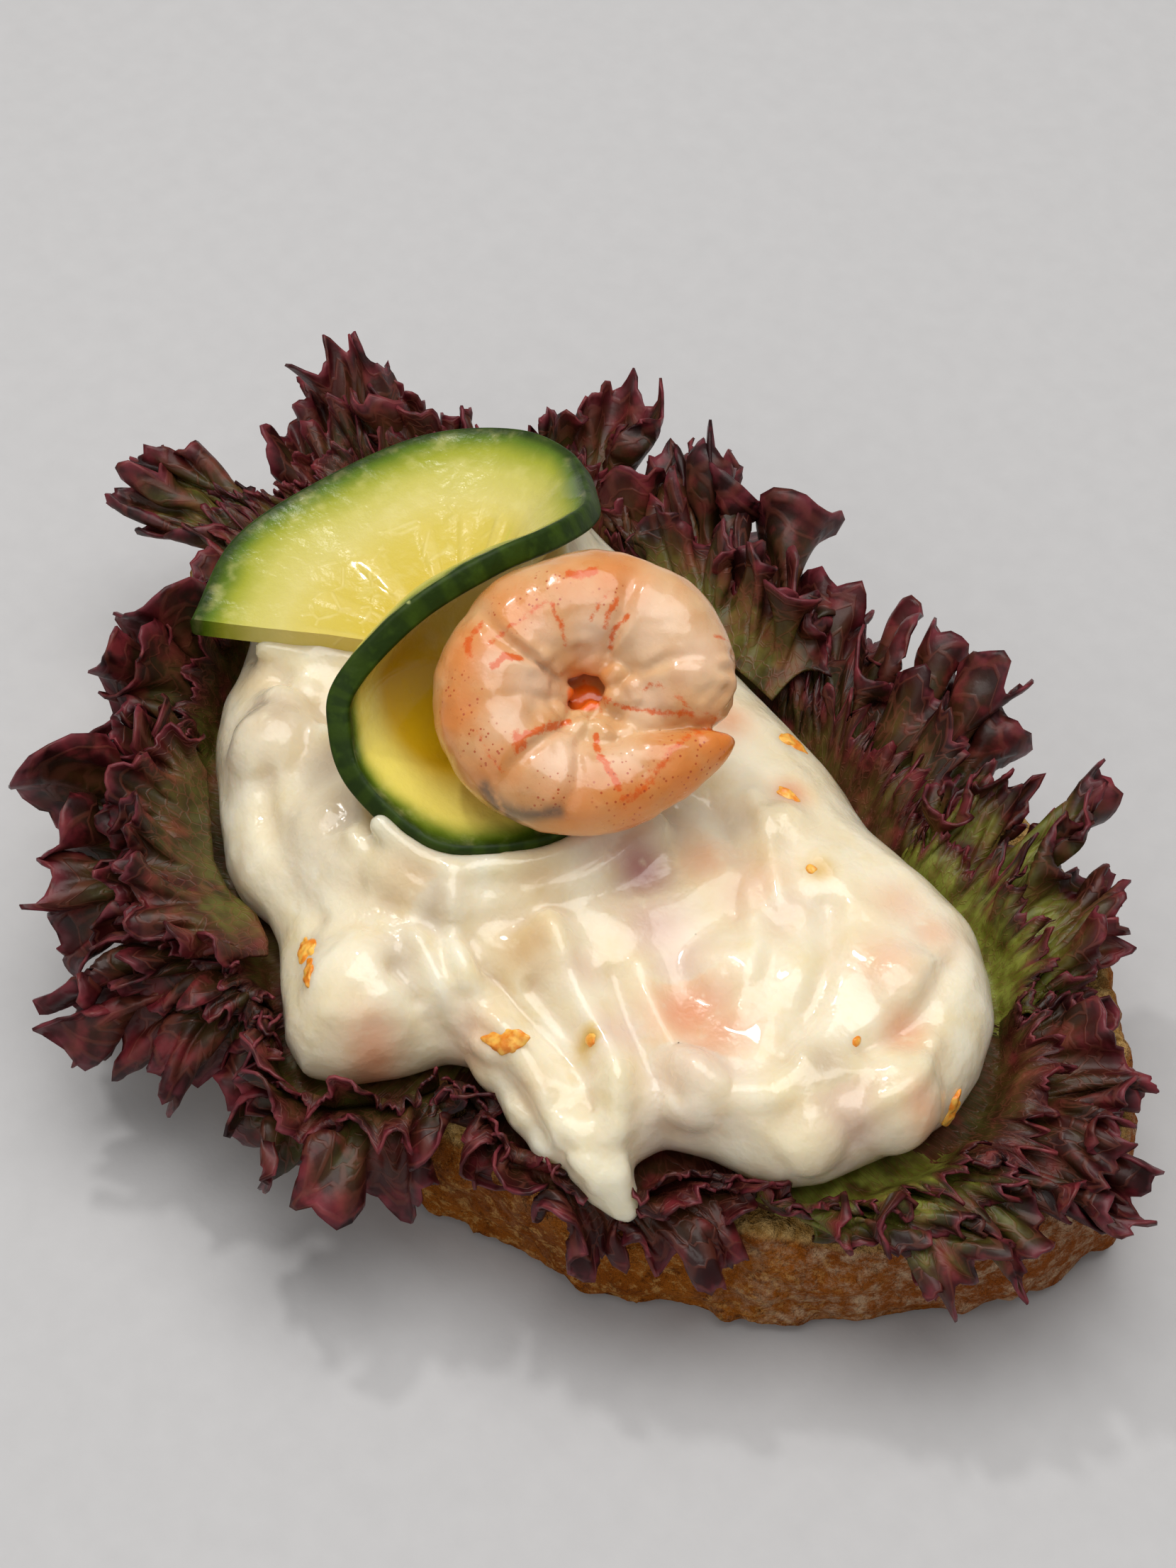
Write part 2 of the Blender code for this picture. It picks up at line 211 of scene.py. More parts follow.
def breadFinish():
    material, w = newFinish("breadCrust", {"Roughness": 0.88, "Specular IOR Level": 0.06})
    fine, coarse = w.speckle(0.8, 4), w.speckle(6.0, 3)
    crust = coarse.between(0.35, 0.65).blend(tint(134, 68, 14), tint(168, 96, 28))
    crust = (w.speckle(1.2, 5, rough=0.75).between(0.5, 0.64) * 0.75).blend(crust, tint(206, 154, 88))
    crust = (w.speckle(1.3, 5, rough=0.7).between(0.54, 0.66) * 0.7).blend(crust, tint(88, 42, 10))
    crust = w.mark("burnt").blend(crust, tint(150, 80, 30))
    dust = w.mark("flour") * w.speckle(1.8, 6, rough=0.75).between(0.42, 0.7)
    crust = (dust * 0.85).blend(crust, tint(214, 184, 150))
    crumb = fine.between(0.3, 0.7).blend(tint(160, 118, 58), tint(206, 168, 108))
    colour = w.mark("crumb").blend(crust, crumb)
    # painted shade: the pores are darkened towards deep brown
    colour = w.mark("pore").blend(colour, tint(78, 46, 16))
    feed(material, baseColor=colour, bump=(fine + w.speckle(1.7, 5, rough=0.7) * 1.2, 1.0, 1.6))
    return material


def remeshed(mesh, voxel, rounds, balls=()):  # even mesh over a closed one: points, normals, faces
    body = placed("soft", mesh)
    bm = bmesh.new()
    bm.from_mesh(mesh)
    for x, y, z, radius in balls:  # these melt into it
        ball = bmesh.ops.create_icosphere(bm, subdivisions=2, radius=radius * mm)
        bmesh.ops.translate(bm, verts=ball["verts"], vec=Vector((x, y, z)) * mm)
    bm.to_mesh(mesh)
    bm.free()
    remesh = body.modifiers.new("remesh", "REMESH")
    remesh.mode, remesh.voxel_size = "VOXEL", voxel * mm
    smooth = body.modifiers.new("smooth", "SMOOTH")
    smooth.factor, smooth.iterations = 0.5, rounds
    done = body.evaluated_get(bpy.context.evaluated_depsgraph_get()).to_mesh()
    points = np.array([v.co for v in done.vertices]) / mm
    normals = np.array([v.normal for v in done.vertices])
    faces = [tuple(p.vertices) for p in done.polygons]
    bpy.data.objects.remove(body)
    bpy.data.meshes.remove(mesh)
    return points, normals, faces


def makeBread():
    points, normals, faces = remeshed(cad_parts["bread"].data.copy(), bread["voxel"], 8)
    side = 1 - ease(np.abs(normals[:, 2]), 0.4, 0.8)
    top = ease(normals[:, 2], 0.4, 0.8)
    under = ease(-normals[:, 2], 0.4, 0.9)
    near = [noise.voronoi(Vector(p) / bread["poreSize"])[0][0] for p in points]
    left = ease(points[:, 0], 8, -8) * ease(points[:, 1], 5, -10)  # open crumb at the front left
    wide = bread["poreWidth"] * np.clip(0.75 + 1.1 * lumps(points, 4.5, 9), 0.05, 1.3)
    pore = 1 - ease(np.array(near) / wide, 0.5, 1.0)
    pore = pore * np.clip(top + side * left, 0, 1)
    rise = lumps(points, bread["cragSize"]) * bread["crag"]
    rise = rise + lumps(points, bread["swellSize"], 3) * bread["swell"]
    rise = rise + lumps(points, bread["grainSize"]) * bread["grain"] - pore * bread["poreDepth"]
    low = ease(points[:, 2], bread["tearHeight"], 0.5) * side  # torn lower edge
    rise = rise + low * lumps(points, bread["tearSize"], 7) * bread["tear"]
    points = points + normals * (rise * (1 - under))[:, None]
    points[:, 2] = np.maximum(points[:, 2], 0.0)
    burnt = ease(points[:, 0], 38, 54) * side
    flour = side * np.clip(0.4 * lumps(points, 16, 2) + 1.1 * ease(points[:, 0], 32, 50), 0, 1)
    # the pore mark carries the real pores and the painted shade in them
    marks = {"crumb": np.clip(top + 0.8 * side * left, 0, 1), "pore": pore * 0.6,
             "burnt": burnt, "flour": flour}
    piece = makePiece("breadSlice", points, faces, breadFinish(), marks)
    dress(piece, "bread")
    print("bread", len(faces), "faces")


# Salad

salad = {
    "voxel": 0.5, "bulgeSize": 7.5, "bulge": 0.38, "dimpleSize": 3.4, "dimple": 0.12,
    "drawnSize": 3, "drawn": 0.3,
    # dressing that runs down between the leaves, as x, y, z and radius
    "tongue": [
        (14, -27, 20.6, 4.4), (19, -28, 20.2, 4.2), (24, -26.5, 20.6, 4.4), (22, -29, 19.4, 3.4),
        (26, -28.6, 19.2, 3.2), (27.8, -29.4, 18.5, 2.5), (29.4, -29.6, 18, 1.9),
        (30.4, -29.8, 17.7, 1.4)],
    # shrimp under the dressing, as x, y, z and radius
    "knobs": [
        (-23, -22, 24.6, 4.6), (-25, -18, 25, 3.6), (-12, -25, 24.8, 4.4), (1, -33, 23.8, 5),
        (11, -20, 24.6, 4.2), (34, -1, 22.6, 6), (34, -13, 22.4, 5.6), (23, -10, 22.6, 5.6),
        (40, -8, 22, 5), (21, 3, 23.4, 4.8), (-28, -12, 24.4, 4.4), (29, -20, 23.6, 3.6),
        (38, -16, 22.6, 3.6), (7, -26, 24.4, 3.4), (16, 4, 25.4, 3.2)],
    # spoon marks, as a path of x, y points, the width and the height
    "swirls": [
        ([(2, -23), (8, -27), (15, -28), (22, -30), (28, -31)], 1.3, 1.2),
        ([(10, -19), (17, -22), (23, -24), (29, -29), (31, -31)], 1.2, 1.1),
        ([(6, -25), (12, -26), (18, -26), (24, -28)], 0.9, -1.3),
        ([(4, -31), (11, -32), (17, -31), (22, -32)], 1.1, -1.2),
        ([(13, -24), (18, -24.5), (22, -26)], 0.8, -0.9),
        ([(3, -28), (9, -30), (14, -30)], 1, 0.9),
        ([(18, -16), (24, -19), (30, -20), (35, -17)], 1.3, 0.9),
        ([(17, -18), (23, -21), (29, -23)], 1, -0.8), ([(25, 0), (30, -6), (33, -14)], 1.2, -1),
        ([(17, -3), (23, -7), (27, -13)], 1.2, 0.7), ([(36, 4), (38, -2), (37, -8)], 1, -1),
        ([(40, -3), (42, -8), (40, -13)], 0.9, 0.8),
        ([(-20, -26), (-14, -30), (-6, -32)], 1.3, -0.9),
        ([(-28, -17), (-20, -17), (-14, -20)], 1.1, -1), ([(12, 4), (17, 1), (22, -3)], 1, 0.7),
        ([(10, 1), (16, -2), (20, -6)], 1, -0.7)],
    # tints under the dressing: each colour, and where it is, as x, y, radius and strength
    "spots": {
        "grey": ((196, 178, 152), [(-24, -21, 4, 0.9), (-11, -24, 3.6, 0.8), (36, -12, 2.4, 0.8),
            (3, -30, 2.6, 0.6), (-16, -21, 2.6, 0.9), (2, -25, 2.4, 0.7), (13, 1, 2, 0.5)]),
        "tan": ((200, 164, 112), [(10, -22, 3, 0.8), (-1, -25, 3, 0.6), (6.5, -17, 2.4, 0.5),
            (-30, -18, 2, 0.4), (19, -30, 2, 0.5)]),
        "pink": ((226, 160, 120), [(24, -16, 3.6, 1), (14, 7, 1.6, 0.8), (4, 9, 2.2, 0.7),
            (7, -37, 2.4, 0.9), (33, -1, 3, 0.5), (38, -4, 2, 0.7), (44, -8, 2, 0.6),
            (19, -3, 3.4, 0.35), (-17, -36, 3, 0.35), (29, 5, 2.6, 0.4), (27, -16, 3.4, 0.8),
            (14, -4, 2.6, 0.5), (33, 5, 2.4, 0.5), (12, -30, 2.4, 0.4)]),
        "mauve": ((216, 182, 166), [(20, -13, 3, 0.6), (28, -19, 4, 0.6), (7, -10, 2.6, 0.5),
            (15, -20, 2, 0.4), (40, -13, 3, 0.6), (30, -24, 3, 0.4), (16, -12, 3.2, 0.8),
            (21, -22, 2.6, 0.6), (23, -3, 2.6, 0.4)]),
        "plum": ((168, 108, 104), [(11, -9, 2.6, 0.9)]),
        "yellow": ((206, 164, 48), [(22, 2, 1.2, 0.9), (20, -24, 1.2, 1)]),
    },
    # small strips, as x, y, length, width and bearing
    "strips": [
        (15, -29, 4.2, 2, 40), (-4.4, -34.6, 3.2, 2, 30), (-1.8, -36.6, 2.8, 1.8, 10),
        (44, -4, 3.8, 1.5, 60), (14, 6.5, 2.6, 1.3, 20), (36, -8, 1.2, 0.9, 0),
        (9, 12.5, 3, 2.3, 60), (21.5, 1.5, 1.1, 1, 0), (20.2, -24, 1.5, 1.2, 0)],
}


def saladFinish():
    material, w = newFinish("saladCream", {
        "Subsurface Weight": 0.6, "Subsurface Radius": (0.0055, 0.0042, 0.0028),
        "Subsurface Scale": 1.0, "Coat Weight": 0.6, "Coat Roughness": 0.05, "IOR": 1.42})
    cream = w.speckle(9, 2).between(0.35, 0.65).blend(tint(232, 217, 184), tint(240, 230, 205))
    cream = (w.speckle(3.2, 3).between(0.5, 0.75) * 0.5).blend(cream, tint(230, 212, 166))
    spot = w.node("Attribute", {"attribute_name": "spotColour"})
    colour = (w.mark("spot") * w.speckle(1.8, 3).between(0.05, 0.45)).blend(cream, spot)
    pepper = w.cells(6.5).between(0.04, 0.022) * w.cells(6.5, output=1).between(0.5, 0.52)
    colour = (pepper * 0.9).blend(colour, tint(84, 60, 40))
    wet = w.speckle(5, 2)
    feed(material, baseColor=colour, roughness=wet.between(0.3, 0.7) * 0.22 + 0.2,
         bump=(w.speckle(2.6, 3) + w.speckle(0.8, 2) * 0.2, 0.5, 0.6))
    return material


def nearPath(points, path, width):  # 1 on a path in plan, falling off to 0
    line = pathValue(path, np.linspace(0, 1, 60))
    gap = np.min(np.hypot(points[:, None, 0] - line[None, :, 0],
                          points[:, None, 1] - line[None, :, 1]), axis=1)
    return np.exp(-(gap / width) ** 2)


def makeSalad():
    balls = salad["tongue"] + salad["knobs"] + lapBalls()
    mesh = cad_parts["salad"].data.copy()
    points, normals, faces = remeshed(mesh, salad["voxel"], 9, balls)
    upper = ease(points[:, 2], 18.5, 21)
    rise = lumps(points, salad["bulgeSize"], 1) * salad["bulge"]
    rise = rise + lumps(points, salad["dimpleSize"], 5) * salad["dimple"]
    drawn = lumps(points * (0.35, 1, 1), salad["drawnSize"], 9)  # drawn out by the spoon
    rise = rise + drawn * salad["drawn"] * ease(points[:, 1], -8, -18)
    for path, width, height in salad["swirls"]:
        rise = rise + nearPath(points, path, width) * height * ease(normals[:, 2], 0.2, 0.7)
    lid = treeOf("cucumber")
    for i in np.flatnonzero((points[:, 2] > 24) & (normals[:, 2] > 0.3)):
        hit = lid.ray_cast(Vector(points[i]) * mm - Vector((0, 0, 2 * mm)), Vector((0, 0, 1)))[0]
        if hit and hit.z / mm < points[i, 2] + 4:  # it stays flat under the cucumber
            rise[i] = min(rise[i], 0)
    points = points + normals * (rise * upper)[:, None]
    spot, colour = np.zeros(len(points)), np.tile((0.9, 0.8, 0.6), (len(points), 1))
    for shade, places in salad["spots"].values():
        for x, y, radius, strength in places:
            here = np.exp(-(np.hypot(points[:, 0] - x, points[:, 1] - y) / radius) ** 2) * strength
            closer = here > spot
            spot = np.where(closer, here, spot)
            colour[closer] = tint(*shade)[:3]
    piece = makePiece("shrimpSalad", points, faces, saladFinish(), {"spot": spot})
    layer = piece.data.attributes.new("spotColour", "FLOAT_COLOR", "POINT")
    layer.data.foreach_set("color", np.column_stack((colour, np.ones(len(colour)))).ravel())
    dress(piece, "salad")
    print("salad", len(faces), "faces")
    return piece


def saladStrips(carrier):  # flat ragged bits, partly sunk in the dressing
    material, w = newFinish("orangeStrip", {"Roughness": 0.3, "Subsurface Weight": 0.2,
                                            "Subsurface Radius": (0.002, 0.001, 0.0004)})
    feed(material, baseColor=w.speckle(0.9, 3).between(0.35, 0.65).blend(
        tint(228, 130, 20), tint(248, 190, 84)), bump=(w.speckle(0.4), 0.3, 0.1))
    bm = bmesh.new()
    for x, y, length, width, bearing in salad["strips"]:
        hit, up = carrier.ray_cast(Vector((x, y, 60)) * mm, Vector((0, 0, -1)))[1:3]
        made = bmesh.ops.create_icosphere(bm, subdivisions=4, radius=mm)["verts"]
        turn = up.to_track_quat("Z", "Y").to_matrix()
        along = heading(bearing)
        for v in made:
            p = v.co / mm
            place = Vector((p.x * length / 2, (p.y + 0.25 * p.x * p.x) * width / 2, 0))
            ragged = 1 + 0.45 * noise.noise(place * 1.1 + Vector((x, y, 0)))
            lift = p.z * 0.34 + 0.16 * noise.noise(place * 1.8 + Vector((y, x, 3))) - 0.12
            spin = Vector((place.x * along[0] - place.y * along[1],
                           place.x * along[1] + place.y * along[0], 0)) * ragged
            v.co = hit + turn @ (spin + Vector((0, 0, lift))) * mm
    mesh = bpy.data.meshes.new("orangeStrips")
    bm.to_mesh(mesh)
    bm.free()
    mesh.materials.append(material)
    mesh.shade_smooth()
    dress(placed("orangeStrips", mesh))
    print("orange strips", len(salad["strips"]))


# Cucumber

cucumber = {
    "centre": (-16.7, -4.9, 28.9), "thickness": 2.2, "bore": 0.12, "bulge": 3.2, "bulgePlace": 1.3,
    "steps": 380, "faceSteps": 54, "rimSteps": 7, "corner": 0.45, "seeds": 19, "stripes": 34,
    "nearHalfLightAndShade": (3.4, 4.2),  # where the near half begins, in radians round the slice; that half gets painted shade as a deeper golden yellow, and a painted lighter band
    "rim": ((217, 0, 25.2), (193, 0, 25.8), (170, 2, 25), (145, 3, 26.6), (125, 6, 26.4),
            (109, 12, 23.7), (94, 24, 19.9), (79, 38, 18.3), (60, 57, 17), (16, 75, 16),
            (289, 62, 16), (277, 35, 18), (281, 23, 19.1), (291, 12, 20.5), (310, 4, 23),
            (325, 3, 23.7), (341, 3, 23.6), (358, 4, 22.7)),
    # where the dressing laps over the slice, as the stretch round it, the stretch of the way out,
    # the number of balls, how far below the middle of the slice they are, and their radius
    "laps": [((0.79, 1), (1.03, 1.03), 30, 0.5, 1.3), ((0.8, 1), (1.1, 1.1), 24, 3.5, 2.6),
             ((0, 0), (0.25, 0.72), 14, 1.9, 1.3)],
}


def cucumberSheet(u, share):  # middle of the slice, as in the solids
    bearing, rise, reach = np.array(cucumber["rim"], float).T
    flat = np.cos(np.radians(rise)) * reach
    rim = np.column_stack((heading(bearing) * flat[:, None], np.sin(np.radians(rise)) * reach))
    rim = pathValue(rim, u)
    points = np.array(cucumber["centre"]) + rim * share[..., None]
    raised = np.clip(rim[..., 2] / np.linalg.norm(rim, axis=-1), 0, 1)
    points[..., 0] -= cucumber["bulge"] * raised * np.sin(
        math.pi * share ** cucumber["bulgePlace"])
    return points


def lapBalls():  # the dressing at the cucumber, as x, y, z and radius
    balls = []
    for around, outwards, count, below, radius in cucumber["laps"]:
        places = cucumberSheet(np.linspace(*around, count), np.linspace(*outwards, count))
        balls += [(x, y, z - below, radius) for x, y, z in places.tolist()]
    return balls


def cucumberFinish():
    material, w = newFinish("cucumberSlice", {
        "Subsurface Weight": 0.25, "Subsurface Radius": (0.0016, 0.0018, 0.0006),
        "Specular IOR Level": 0.3, "Coat Roughness": 0.07, "IOR": 1.38})
    out = w.mark("out") + (w.speckle(5, 2) - 0.5) * 0.07
    flesh = out.node("ValToRGB", {"stops": [
        (0.0, tint(202, 172, 40)), (0.30, tint(208, 184, 64)), (0.56, tint(208, 190, 88)),
        (0.68, tint(210, 198, 116)), (0.80, tint(196, 189, 96)), (0.89, tint(158, 162, 50)),
        (0.955, tint(92, 116, 24)), (1.0, tint(38, 60, 4))]}, {0: out})
    streak = w.speckle(2.2, 4, (1, 1, 0.4)).between(0.5, 0.75)
    flesh = (streak * 0.3).blend(flesh, tint(222, 212, 142))
    # painted shade and painted light on the near half: a deeper golden yellow through its middle, and
    # a brighter pale band further out
    flesh = (w.mark("near") * 0.95 * out.between(0.92, 0.6)).blend(flesh, tint(204, 162, 0))
    flesh = (w.mark("near") * 0.85 * out.between(0.98, 0.86) * out.between(0.62, 0.84)).blend(
        flesh, tint(240, 224, 112))
    glints = w.cells(2.6, "DISTANCE_TO_EDGE").between(0.09, 0.01) * w.mark("gel")
    glints = glints * w.speckle(2.4, 2).between(0.47, 0.6)
    flesh = (w.mark("seed") * 0.25).blend(flesh, tint(226, 208, 128))
    flesh = (glints * 0.22).blend(flesh, tint(240, 226, 158))
    flesh = (w.mark("septum") * 0.5).blend(flesh, tint(190, 190, 70))
    skin = (w.mark("stripe").between(0.3, 0.9) * 0.3).blend(tint(30, 50, 0), tint(64, 88, 4))
    skin = (w.speckle(1.6, 3).between(0.5, 0.75) * 0.4).blend(skin, tint(66, 92, 16))
    fleck = w.cells(3.6).between(0.10, 0.06) * w.cells(3.6, output=1).between(0.55, 0.6)
    skin = fleck.blend(skin, tint(170, 176, 110))
    colour = w.mark("skin").blend(flesh, skin)
    feed(material, baseColor=colour, roughness=w.speckle(3, 3) * 0.25 + w.mark("skin") * 0.25 + 0.12,
         coat=0.35 - w.mark("skin") * 0.35,
         bump=(w.speckle(1.2, 3) + w.mark("seed") * 0.3 + glints * 0.5, 0.3, 0.4))
    return material


def makeCucumber():
    steps, faceSteps, rimSteps = (cucumber[k] for k in ("steps", "faceSteps", "rimSteps"))
    half = cucumber["thickness"] / 2
    share = cucumber["bore"] + (1 - cucumber["bore"]) * np.linspace(0, 1, faceSteps) ** 0.8
    u, s = np.meshgrid(np.linspace(0, 1, steps), share, indexing="ij")
    middle = cucumberSheet(u, s)
    normal = unit(np.cross(np.gradient(middle, axis=1), np.gradient(middle, axis=0)))
    normal = normal * np.sign(normal[0, 0, 2])
    outward = unit(np.gradient(middle, axis=1))
    turn = u * 2 * math.pi
    ring = 0.5 + 0.5 * np.cos(turn * cucumber["seeds"] + 0.9 * np.sin(turn * 5))
    seed = ease(ring, 0.55, 0.95) * ease(s, 0.3, 0.4) * (1 - ease(s, 0.56, 0.64))
    septum = np.exp(-(np.sin(turn * 1.5 + 0.5) / 0.03) ** 2) * ease(s, 0.1, 0.2)
    septum = septum * (1 - ease(s, 0.55, 0.62))  # thin walls between the thirds
    nearHalfLightAndShade = ease(turn, *cucumber["nearHalfLightAndShade"])
    skinEdge = ease(s, 0.965, 1.0) * 0.6
    bumpy = lumps(middle, 3.0) * 0.12 + seed * 0.08
    corner = cucumber["corner"]
    quarter = np.linspace(0, math.pi / 2, rimSteps)
    loops = []
    marks = {"out": [], "skin": [], "seed": [], "septum": [], "stripe": [], "near": [], "gel": []}

    def layer(points, out, skin, seeds, septa):
        loops.append(points)
        here = turn[:, :1]
        stripe = 0.5 + 0.5 * np.sin(here * cucumber["stripes"] + 2 * np.sin(here * 9))
        gel = (1 - ease(here, 1.0, 1.9)) * ease(out, 0.22, 0.32) * (1 - ease(out, 0.6, 0.7))
        for mark, value in zip(marks, (out, skin, seeds, septa, stripe, nearHalfLightAndShade[:, :1], gel)):
            marks[mark].append(np.broadcast_to(value, points.shape[:2]))

    inset = outward * (corner * ease(s, 0.0, 1.0))[..., None]
    face = middle - inset
    # on the near half the flesh ramp is pulled inwards so more golden yellow shows, as part of the
    # painted shade there
    layer(face + normal * (half + bumpy)[..., None], s ** (1 + 0.7 * nearHalfLightAndShade), skinEdge, seed,
          septum)
    edge, edgeNormal, edgeOut = middle[:, -1:], normal[:, -1:], outward[:, -1:]
    for side in (1, -1):
        bend = quarter[1:] if side == 1 else quarter[::-1][1:]
        lift = (half - corner) + corner * np.cos(bend)
        out = corner * (np.sin(bend) - 1)
        layer(edge + edgeNormal * (side * lift)[None, :, None] + edgeOut * out[None, :, None],
              1.0, 1.0, 0.0, 0.0)
    layer((face - normal * half)[..., ::-1, :], s[:, ::-1], skinEdge[:, ::-1], 0.0, 0.0)
    points = np.concatenate(loops, axis=1)
    faces = gridFaces(steps, points.shape[1], looped=True)
    count = points.shape[1]
    faces = faces + [list(range(count)), list(range((steps - 1) * count, steps * count))[::-1]]
    values = {mark: np.concatenate(rows, axis=1) for mark, rows in marks.items()}
    piece = makePiece("cucumberSlice", points, faces, cucumberFinish(), values)
    closeUp(piece)
    dress(piece, "cucumber")
    print("cucumber", len(faces), "faces")


def closeUp(piece):  # faces out, and long end faces as triangles
    bm = bmesh.new()
    bm.from_mesh(piece.data)
    bmesh.ops.recalc_face_normals(bm, faces=bm.faces)
    bmesh.ops.triangulate(bm, faces=[f for f in bm.faces if len(f.verts) > 4])
    bm.to_mesh(piece.data)
    bm.free()
    piece.data.set_sharp_from_angle(angle=math.radians(60))


# Shrimp

shrimp = {
    "centre": (0.3, -5.6, 38.6), "facing": 46, "tilt": 26, "flatness": 0.88,
    "rings": 460, "sides": 110, "voxel": 0.27, "swellSize": 3.6, "swell": 0.24,
    "grainSize": 1.3, "grain": 0.08, "hole": (0.1, 0.3),
    "body": ((-15, 8.3, 0), (-12, 8.5, 2.9), (0, 8.8, 4.1), (12, 9, 4.6), (35, 9, 4.9),
             (70, 8.4, 5.1), (105, 7.8, 5.2), (140, 7.7, 5.2), (180, 7.9, 5.2), (215, 7.8, 5),
             (250, 7.8, 4.5), (282, 8, 4.1), (306, 8.4, 3.8), (325, 9.2, 3.6),
             (337, 10.6, 2.8), (344, 11.9, 1.7), (346, 12.6, 0)),
    "creases": (18, 62, 96, 147, 186, 232, 264, 303), "creaseWidth": 4.4, "creaseDepth": 0.2,
    # flesh inside the curl, as x, y and height in the shrimp's own plane, and radius
    "flesh": [
        (1.9, -2, -0.8, 1.7), (3.2, 0.1, 0.3, 1.6), (4.6, 0.3, 0.9, 1.6), (6.2, -0.4, 1.1, 1.5),
        (7.6, -1.2, 0.9, 1.5), (9, -1.9, 0.2, 1.3), (5.8, -1.9, 0.4, 1.6), (4.4, -1.5, 0, 1.5),
        (-3, 1, 0.2, 1.6), (-2.6, -1.5, 0.4, 1.5), (-1.2, 3.3, 0.4, 1.5), (1, 3.4, 0.7, 1.4),
        (-0.8, -3.3, 0.4, 1.6), (1.4, -3.5, 0.6, 1.5), (3.6, -3, 0.2, 1.3), (0.3, 0.2, -5.2, 4.5),
        (0.5, -1, -0.3, 1), (-0.6, -1.5, 0, 0.8), (-1.7, 0.3, 0.1, 0.9), (2.6, 2, 0.9, 1.3),
        (5.4, 1.8, 1.4, 1.2)],
    # orange lines, as a path of x, y points, the width and the strength
    "streaks": [
        ([(-7.7, 1.9), (-6.7, 2.7), (-5.5, 2.7)], 0.35, 1),
        ([(-8.2, 3.9), (-5.6, 5.8), (-3.1, 7.5), (-2.3, 6.1)], 0.3, 0.7),
        ([(-5.7, -5.6), (-5.6, -4.6), (-4.5, -3.9), (-2.5, -2.9), (-1.3, -2.3)], 0.35, 0.9),
        ([(1, -3.6), (1.3, -5.4), (2.3, -7.1), (3, -8.7)], 0.3, 1),
        ([(2.3, 4.1), (2.7, 5.4), (3.8, 6.4)], 0.25, 0.8), ([(-2, 5.9), (-1.6, 4.1)], 0.25, 0.7),
        ([(2.1, 8.3), (0.6, 6.1)], 0.25, 0.6), ([(-1.2, 10.1), (-0.4, 9.9), (0.8, 10.3)], 0.4, 1.1),
        ([(-8.7, 6.1), (-9.9, 4.3), (-9.9, 2.9)], 0.35, 0.8),
        ([(2.9, 7.7), (2.2, 6.6), (1.9, 5.6)], 0.3, 0.8),
        ([(1.2, 0.6), (3.2, -0.9), (6, -1.6), (9.4, -1.9)], 0.3, 0.7),
        ([(-5.9, -4), (-5.1, -5.1)], 0.4, 0.9), ([(11.4, 4.9), (12.5, 4.9)], 0.25, 0.7),
        ([(13.8, 5.1), (14.1, 3.9)], 0.3, 0.6),
        ([(3.6, -9.6), (5.2, -8.4), (8.3, -4.4), (10.6, -3), (12, -3)], 0.5, 0.7),
        ([(5, 0.3), (6.4, 0.5), (8, -0.6), (9.6, -1.7), (12.4, -2)], 0.25, 0.6),
        ([(-9, -3.6), (-8.3, -5.5), (-6.8, -7.2)], 0.25, 0.6)],
    # warmer flesh, as x, y, radius and strength
    "warmth": [
        (12, -4.6, 3.2, 1), (8.4, -7.4, 3.4, 0.9), (4.2, -10, 3.2, 0.8),
        (0, -10.6, 3.4, 0.65), (-5.6, 6.6, 3.4, 0.7), (-9.6, 3, 3.4, 0.8),
        (-6.6, -4.8, 3, 0.35), (-11.2, -2, 3, 0.8), (2.8, 9.8, 3.4, 0.7),
        (-8.6, -7, 3, 0.5), (-1, 9.6, 3, 0.5), (0.1, 1.6, 2, 1), (-11.6, 2.6, 2.6, 0.5)],
    # whiter lobes, as x, y, radius and strength
    "pale": [
        (0.8, 5.3, 2.4, 1), (-4.5, 0.8, 2.6, 1), (-1.9, -5.9, 2.6, 1), (-6.4, -2.8, 2, 0.8),
        (6, 5.4, 3.8, 0.9), (9.8, 3, 3.2, 1), (5.4, -0.6, 2.4, 0.9), (-7.8, 2, 1.7, 0.7),
        (-3.4, 4.8, 1.7, 0.7), (3, -5.6, 2, 0.7)],
    # where the fine dots are, as x, y and radius
    "dotted": [
        (-6, 6.8, 2.6), (-10.4, -0.6, 2.8), (-3, -8.8, 2.6), (3.4, -8.6, 3.6), (2.4, 8.2, 1.8),
        (9.4, -6.4, 4.2), (-8.4, -4.8, 2.6), (-3, 8.6, 2.4)],
    "greyLine": [(-8.5, -8.3), (-6.9, -10), (-4.6, -10.7), (-2.1, -10.5)],
}


